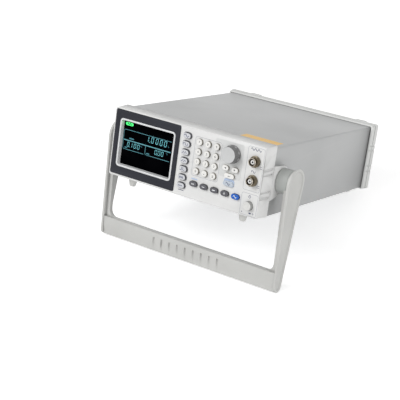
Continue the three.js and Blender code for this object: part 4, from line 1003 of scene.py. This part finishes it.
# Prints on the front; a box is left, right, bottom, top, and each layer lies a little further out
fields = {
    "knobField": {"box": (50.3, 80.6, 38.5, 81.4), "corner": 3.0, "lift": 0.03},
    "topField": {"box": (40.4, 53.0, 77.0, 81.4), "corner": 2.0, "lift": 0.034},
}
boxes = {
    "keypad_box": {"box": (12.3, 50.3, 29.1, 77.0), "corner": 3.0},
    "jacks_box": {"box": (85.5, 108.2, 31.0, 83.0), "corner": 2.4},
    "power_box": {"box": (85.5, 108.2, 1.6, 28.0), "corner": 2.4},
}
boxLine = {"width": 0.5, "lift": 0.042}
outputTint = {"box": (59.0, 73.6, 28.6, 38.0), "corner": 3.4, "lift": 0.05}
# marks by their middle, and their size where they have one
frontMark = {
    "lift": 0.03, "waves": ((91.6, 80.0), (96.2, 80.0), (100.8, 80.0)), "waveSize": 4.6,
    "square": (96.4, 54.0), "squareSize": 5.0, "ring": (96.6, 24.2), "ringSize": 7.0,
    "lineLevels": (61.8, 59.6, 39.2, 37.0), "lineEnds": (103.6, 107.0), "lineStroke": 0.45,
    "dot": (88.6, 4.6), "dotSize": 0.6, "bar": (99.8, 4.9), "barSize": (3.0, 1.6), "loop": (103.8, 4.9),
    "loopSize": 1.0, "loopStroke": 0.4, "footLine": ((-3.0, 7.4), (5.0, 7.4)), "footStroke": 0.7,
    "label": (18.3, 25.4), "labelSize": (9.0, 1.7), "corner": 0.6,
}


def boxLoop(area):
    left, right, bottom, top = area["box"]
    return roundedLoop((left + right) / 2, (bottom + top) / 2, right - left, top - bottom, area["corner"])


def frontMarks(mark, y):
    marks = bmesh.new()
    for place in mark["waves"]:
        glyphSine(*place, y, mark["waveSize"], marks)
    glyphSquare(*mark["square"], y, mark["squareSize"], marks)
    glyphRing(*mark["ring"], y, mark["ringSize"], marks)
    for v in mark["lineLevels"]:
        ribbon([(u, v) for u in mark["lineEnds"]], mark["lineStroke"], y, marks)
    flatShape(circleLoop(*mark["dot"], mark["dotSize"], 12), y, marks)
    flatShape(roundedLoop(*mark["bar"], *mark["barSize"], mark["corner"], 4), y, marks)
    outlineShape(circleLoop(*mark["loop"], mark["loopSize"], 16), mark["loopStroke"], y, marks)
    ribbon(mark["footLine"], mark["footStroke"], y, marks)
    printPiece(marks, "front_marks", "blueInk")
    label = roundedLoop(*mark["label"], *mark["labelSize"], mark["corner"], 4)
    printPiece(flatShape(label, y), "mode_label", "paleBlueInk")


for name, field in fields.items():
    printPiece(flatShape(boxLoop(field), -field["lift"]), name, "fieldInk")
for name, box in boxes.items():
    printPiece(outlineShape(boxLoop(box), boxLine["width"], -boxLine["lift"]), name, "edgeInk")
printPiece(flatShape(boxLoop(outputTint), -outputTint["lift"]), "output_tint", "paleBlueInk")
frontMarks(frontMark, -frontMark["lift"])
print("prints ready")

# Knob: a dished face, a side with finger flutes and a hollow for the shaft
knob = {
    "radius": 11.0, "faceRadius": 9.6, "topEdge": 0.5, "shoulder": 1.4, "base": 1.6, "gap": 0.4, "dish": 0.35,
    "flutes": 8, "fluteDepth": 0.8, "steps": 96, "baseEdge": 0.3, "hollow": 7.6, "hollowTaper": 0.3,
    "hollowDepth": 6.0, "hub": 0.05,
    # across the face and down the dish, as shares of both, then the flat ring round the dish
    "dishSteps": ((0.05, 1), (0.72, 1), (0.8, 0.4)), "faceShare": 0.86, "faceSink": 0.02,
    # in and down as shares of the top edge, then in mm from the shoulder and from the base;
    # the last value is the share of the flutes' depth
    "edgeSteps": ((1, 0, 0), (0.62, 0.08, 0), (0.3, 0.3, 0.1), (0.08, 0.62, 0.2), (0, 1, 0.3)),
    "flankSteps": ((0.3, 0, 1), (0.4, 1.5, 1.4)), "baseSteps": ((0.5, 1.6, 1.3), (0.1, 0.4, 0.4), (0, 0, 0)),
}


def flutedLoop(u, v, radius, depth):
    points = []
    for step in range(knob["steps"]):
        angle = 2 * math.pi * step / knob["steps"]
        reach = radius - depth * (1 - math.cos(angle * knob["flutes"])) / 2
        points.append((u + reach * math.cos(angle), v + reach * math.sin(angle)))
    return points


def makeKnob():
    low, high = caseBox("knob")
    u, v = faceMiddle(low, high)
    front, back = low.y, -knob["gap"]
    face, edge, radius, hollow = knob["faceRadius"], knob["topEdge"], knob["radius"], knob["hollow"]
    shoulder, base, floor = front + knob["shoulder"], back - knob["base"], back - knob["hollowDepth"]
    outline = [(face * across, front + knob["dish"] * down, 0) for across, down in knob["dishSteps"]]
    outline.append((face * knob["faceShare"], front + knob["faceSink"], 0))
    outline += [(face - edge * inwards, front + edge * down, share)
                for inwards, down, share in knob["edgeSteps"]]
    outline += [(face + wider, shoulder + behind, share) for wider, behind, share in knob["flankSteps"]]
    outline += [(radius - less, base - ahead, share) for less, ahead, share in knob["baseSteps"]]
    outline += [
        (radius, back - knob["baseEdge"], 0), (radius - knob["baseEdge"], back, 0), (hollow, back, 0),
        (hollow - knob["hollowTaper"], floor, 0), (face * knob["hub"], floor, 0),
    ]
    rings = [atDepth(flutedLoop(u, v, reach, knob["fluteDepth"] * share), y) for reach, y, share in outline]
    formPiece(skin(rings), "knob_body", "knob", "knob", ("knob",), 55)


makeKnob()

# Coaxial jacks, drawn about the y axis with the wall they sit in at y = 0
jack = {
    "barrel": 4.8, "bore": 4.05, "boreDepth": 8.0, "proud": 8.3, "seat": 0.02, "mouth": (0.2, 0.35),
    "lip": 0.25, "band": 1.0, "relief": 0.12, "reliefStep": 0.2, "collar": 6.3, "collarSet": 0.7,
    "shoulder": ((-0.12, 1.6), (0.5, 1.5), (0.7, 0.9)),
    "nut": 13.6, "nutThickness": 2.4, "nutGap": 0.3, "nutEdge": 0.35, "nutShare": 0.94, "ringEdge": 0.5,
    "lug": 1.0, "lugSet": 2.6, "lugReach": 1.2, "lugRoot": 0.4, "lugEdge": 0.25, "lugTip": 0.8,
    "rimInside": 0.1, "rimEdge": 0.25, "rimOuter": 0.2, "rimOver": 0.06, "rimProud": 0.08, "rimLength": 0.8,
    "insulator": 2.7, "insulatorSet": 1.6, "insulatorEdge": (0.2, 0.3), "insulatorGap": 0.05,
    "hole": 1.15, "holeEdge": 0.1, "holeDepth": 4.0, "contact": 1.05, "contactEdge": 0.15,
    "contactLength": 3.9, "contactBore": (0.5, 0.25), "contactFloor": (0.45, 3.4),
    "lining": 0.02, "liningStart": 0.7, "liningGap": 0.03, "liningReach": 1.6,
}
jackFront = -jack["proud"]
boreFloor = jackFront + jack["boreDepth"]
insulatorFront = jackFront + jack["insulatorSet"]
nutBack = -jack["nutGap"]
nutFront = nutBack - jack["nutThickness"]


def jackShell():
    bore, barrel, collar, front, lip = jack["bore"], jack["barrel"], jack["collar"], jackFront, jack["lip"]
    mouth, mouthDepth = jack["mouth"]
    waist, bandEnd = barrel - jack["relief"], front + jack["band"]
    profile = [
        (0, boreFloor), (bore, boreFloor), (bore, front + mouthDepth), (bore + mouth, front),
        (barrel - lip, front), (barrel, front + lip), (barrel, bandEnd),
        (waist, bandEnd + jack["reliefStep"]),
    ]
    profile += [(barrel + wider, nutFront - ahead) for wider, ahead in jack["shoulder"]]
    profile += [(collar, nutFront - jack["collarSet"]), (collar, -jack["seat"]), (0, -jack["seat"])]
    return turnForm(profile, segments=56)


def jackNut(form):
    across = jack["nut"] / math.sqrt(3)
    loops = [(1.0, nutBack), (1.0, nutFront + jack["nutEdge"]), (jack["nutShare"], nutFront)]
    return skin([atDepth(arc(0, 0, across * share, 0, 300, 5), y) for share, y in loops], form)


def jackRing(form):
    radius, edge = jack["nut"] / 2, jack["ringEdge"]
    loops = [(radius, nutBack), (radius, nutFront + edge), (radius - edge * 0.3, nutFront + edge * 0.3),
             (radius - edge, nutFront)]
    return skin([atDepth(circleLoop(0, 0, size, 56), y) for size, y in loops], form)


def jackLugs(form):
    tip, middle = jack["barrel"] + jack["lugReach"], jackFront + jack["lugSet"]
    steps = ((jack["barrel"] - jack["lugRoot"], 1), (tip - jack["lugEdge"], 1), (tip, jack["lugTip"]))
    for side in (-1, 1):
        rings = [[Vector((u, v, side * reach)) for u, v in circleLoop(0, middle, jack["lug"] * share, 20)]
                 for reach, share in steps]
        skin(rings, form)
    return form


def jackRim():
    bore, outer, crown = jack["bore"], jack["barrel"] + jack["rimOver"], jackFront - jack["rimProud"]
    steps = [(bore + jack["rimInside"], jackFront + jack["rimInside"]), (bore + jack["rimEdge"], crown),
             (jack["barrel"] - jack["rimOuter"], crown), (outer, jackFront + jack["rimOuter"]),
             (outer, jackFront + jack["rimLength"])]
    return skin([atDepth(circleLoop(0, 0, radius, 56), y) for radius, y in steps], closed=True)


def jackInside():
    start, hole, radius = insulatorFront, jack["hole"], jack["insulator"]
    edge, edgeDepth = jack["insulatorEdge"]
    deep, floor = start + jack["holeDepth"], boreFloor - jack["insulatorGap"]
    return turnForm([
        (0, deep), (hole, deep), (hole, start + jack["holeEdge"]), (radius - edge, start),
        (radius, start + edgeDepth), (radius, floor), (0, floor),
    ], segments=40)


def jackContact():
    start, radius, end = insulatorFront, jack["contact"], insulatorFront + jack["contactLength"]
    (bore, boreEdge), (floorRadius, floor) = jack["contactBore"], jack["contactFloor"]
    return turnForm([
        (0, start + floor), (floorRadius, start + floor), (bore, start + boreEdge),
        (radius, start + jack["contactEdge"]), (radius, end), (0, end),
    ], segments=28)


def boreShadeLining():
    # a dark sheet of painted shade inside the barrel, which faces the axis and the front
    radius, floor = jack["bore"] - jack["lining"], boreFloor - jack["liningGap"]
    profile = [(radius, jackFront + jack["liningStart"]), (radius, floor)]
    profile.append((radius - jack["liningReach"], floor))
    form = skin([atDepth(circleLoop(0, 0, reach), y) for reach, y in profile], caps=False)
    for face in form.faces:
        face.normal_update()
        centre = face.calc_center_median()
        if face.normal.dot(Vector((centre.x, 0, centre.z))) > 0 or face.normal.y > 0.5:
            face.normal_flip()
    return form


def makeJack(node, backwards):
    low, high = caseBox(node)
    wall = high.y + jackFront if backwards else low.y - jackFront
    u, v = faceMiddle(low, high)
    place = Matrix.Translation((u, wall, v)) @ Matrix.Rotation(math.pi if backwards else 0, 4, "Z")
    shell = jackLugs((jackNut if backwards else jackRing)(jackShell()))
    # painted shade: the front jacks' contacts take black plastic for the dark of their hole
    parts = [
        (shell, "shell", "nickel" if backwards else "reflectionNickel"), (jackRim(), "rim", "nickel"),
        (jackInside(), "insulator", "insulator"),
        (jackContact(), "contact", "gold" if backwards else "black"), (boreShadeLining(), "lining", "boreShadeNickel"),
    ]
    for form, name, material in parts:
        bmesh.ops.transform(form, matrix=place, verts=form.verts)
        formPiece(form, f"{node}_{name}", material, "case", (node,) if name == "shell" else (), 40)


makeJack("bnc_output", False)
makeJack("bnc_sync", False)
makeJack("bnc_rear_1", True)
makeJack("bnc_rear_2", True)

# Power button with a shallow dish turned into its face
button = {
    "flange": 1.1, "edge": 0.8, "back": 2.8, "dishEdge": 1.5, "dishFloor": 1.9, "dish": 0.2, "middle": 0.25,
}


def powerButton():
    low, high = caseBox("power_button")
    radius = (high.x - low.x) / 2 - button["flange"]
    profile = [(0, low.y + button["middle"]), (radius - button["dishFloor"], low.y + button["dish"]),
               (radius - button["dishEdge"], low.y)]
    profile += [(radius - down, low.y + inwards) for inwards, down in roundOver(button["edge"], quarterTurn)]
    profile += [(radius, button["back"]), (0, button["back"])]
    form = turnForm(profile, *faceMiddle(low, high), 56)
    formPiece(form, "power_button_cap", "button", "power_button", ("power_button",), 50)


powerButton()
print("controls ready")

# Bare strip on the cover
strip = {"box": (52.0, 103.5, 30.0, 48.3), "corner": 0.8, "thickness": 0.12, "sink": 0.02}


def coverStrip():
    top = caseBox("top_cover")[1].z
    left, right, front, back = strip["box"]
    loop = roundedLoop((left + right) / 2, (front + back) / 2, right - left, back - front, strip["corner"], 5)
    rings = [[Vector((u, v, height)) for u, v in loop]
             for height in (top - strip["sink"], top + strip["thickness"])]
    formPiece(skin(rings), "cover_strip", "strip", "case")


coverStrip()

# Screws on the rear panel and on the inlet, one shape set at points by a node tree
screw = {
    "radius": 2.6, "height": 1.1, "slot": 0.7, "slotDepth": 0.6, "slotFloor": 0.4, "inset": 8.0,
    "inletInset": 5.5, "headSteps": ((1, 0), (1, 0.5), (0.86, 0.86), (0.6, 1)),
}


def screwShape():
    radius, height, slot = screw["radius"], screw["height"], screw["slot"]
    floor = height - screw["slotDepth"]
    profile = [(0, 0)] + [(radius * across, height * up) for across, up in screw["headSteps"]]
    profile += [(slot, height), (slot * screw["slotFloor"], floor), (0, floor)]
    mesh = meshOf(turnForm(profile, segments=20), "screwShape")
    mesh.shade_smooth()
    shape = bpy.data.objects.new("screwShape", mesh)
    scene.collection.objects.link(shape)
    return shape


def screwTree(shape):
    tree = bpy.data.node_groups.new("panelScrews", "GeometryNodeTree")
    for label, way, kind in (("Geometry", "INPUT", "Geometry"), ("Head Scale", "INPUT", "Float"),
                             ("Geometry", "OUTPUT", "Geometry")):
        tree.interface.new_socket(name=label, in_out=way, socket_type="NodeSocket" + kind)
    given = addNode(tree, "NodeGroupInput").outputs
    head = addNode(tree, "GeometryNodeObjectInfo", {"Object": shape}).outputs["Geometry"]
    scale = given["Head Scale"]
    size = addNode(tree, "ShaderNodeCombineXYZ", {0: scale, 1: scale, 2: scale}).outputs[0]
    heads = addNode(
        tree, "GeometryNodeInstanceOnPoints", {"Points": given["Geometry"], "Instance": head, "Scale": size})
    realized = addNode(tree, "GeometryNodeRealizeInstances", {0: heads.outputs["Instances"]}).outputs[0]
    paint = addNode(tree, "GeometryNodeSetMaterial", {"Geometry": realized, "Material": finish["nickel"]})
    addNode(tree, "NodeGroupOutput", {0: paint.outputs["Geometry"]})
    return tree


def grownMesh(tree, name, mesh, values):
    holder = bpy.data.objects.new(name, mesh)
    scene.collection.objects.link(holder)
    modifier = holder.modifiers.new(name, "NODES")
    modifier.node_group = tree
    for item in tree.interface.items_tree:
        if item.item_type == "SOCKET" and item.in_out == "INPUT" and item.name in values:
            modifier[item.identifier] = values[item.name]
    return settledMesh(holder, name)


def panelScrews():
    low, high = caseBox("rear_panel")
    inletLow, inletHigh = caseBox("mains_inlet")
    inset, inletInset = screw["inset"], screw["inletInset"]
    middle = (inletLow.z + inletHigh.z) / 2
    places = [(x, high.y, z) for x in (low.x + inset, 0, high.x - inset)
              for z in (high.z - inset, low.z + inset)]
    places += [(x, inletHigh.y, middle) for x in (inletLow.x + inletInset, inletHigh.x - inletInset)]
    mesh = bpy.data.meshes.new("screwPlaces")
    mesh.from_pydata(places, [], [])
    shape = screwShape()
    result = grownMesh(screwTree(shape), "panel_screws", mesh, {"Head Scale": 1.0})
    bpy.data.objects.remove(shape)
    result.transform(caseMatrix)
    finishPiece(result, "panel_screws", "nickel", "case", smooth=50)


panelScrews()
print("rear ready")

bpy.context.view_layer.update()
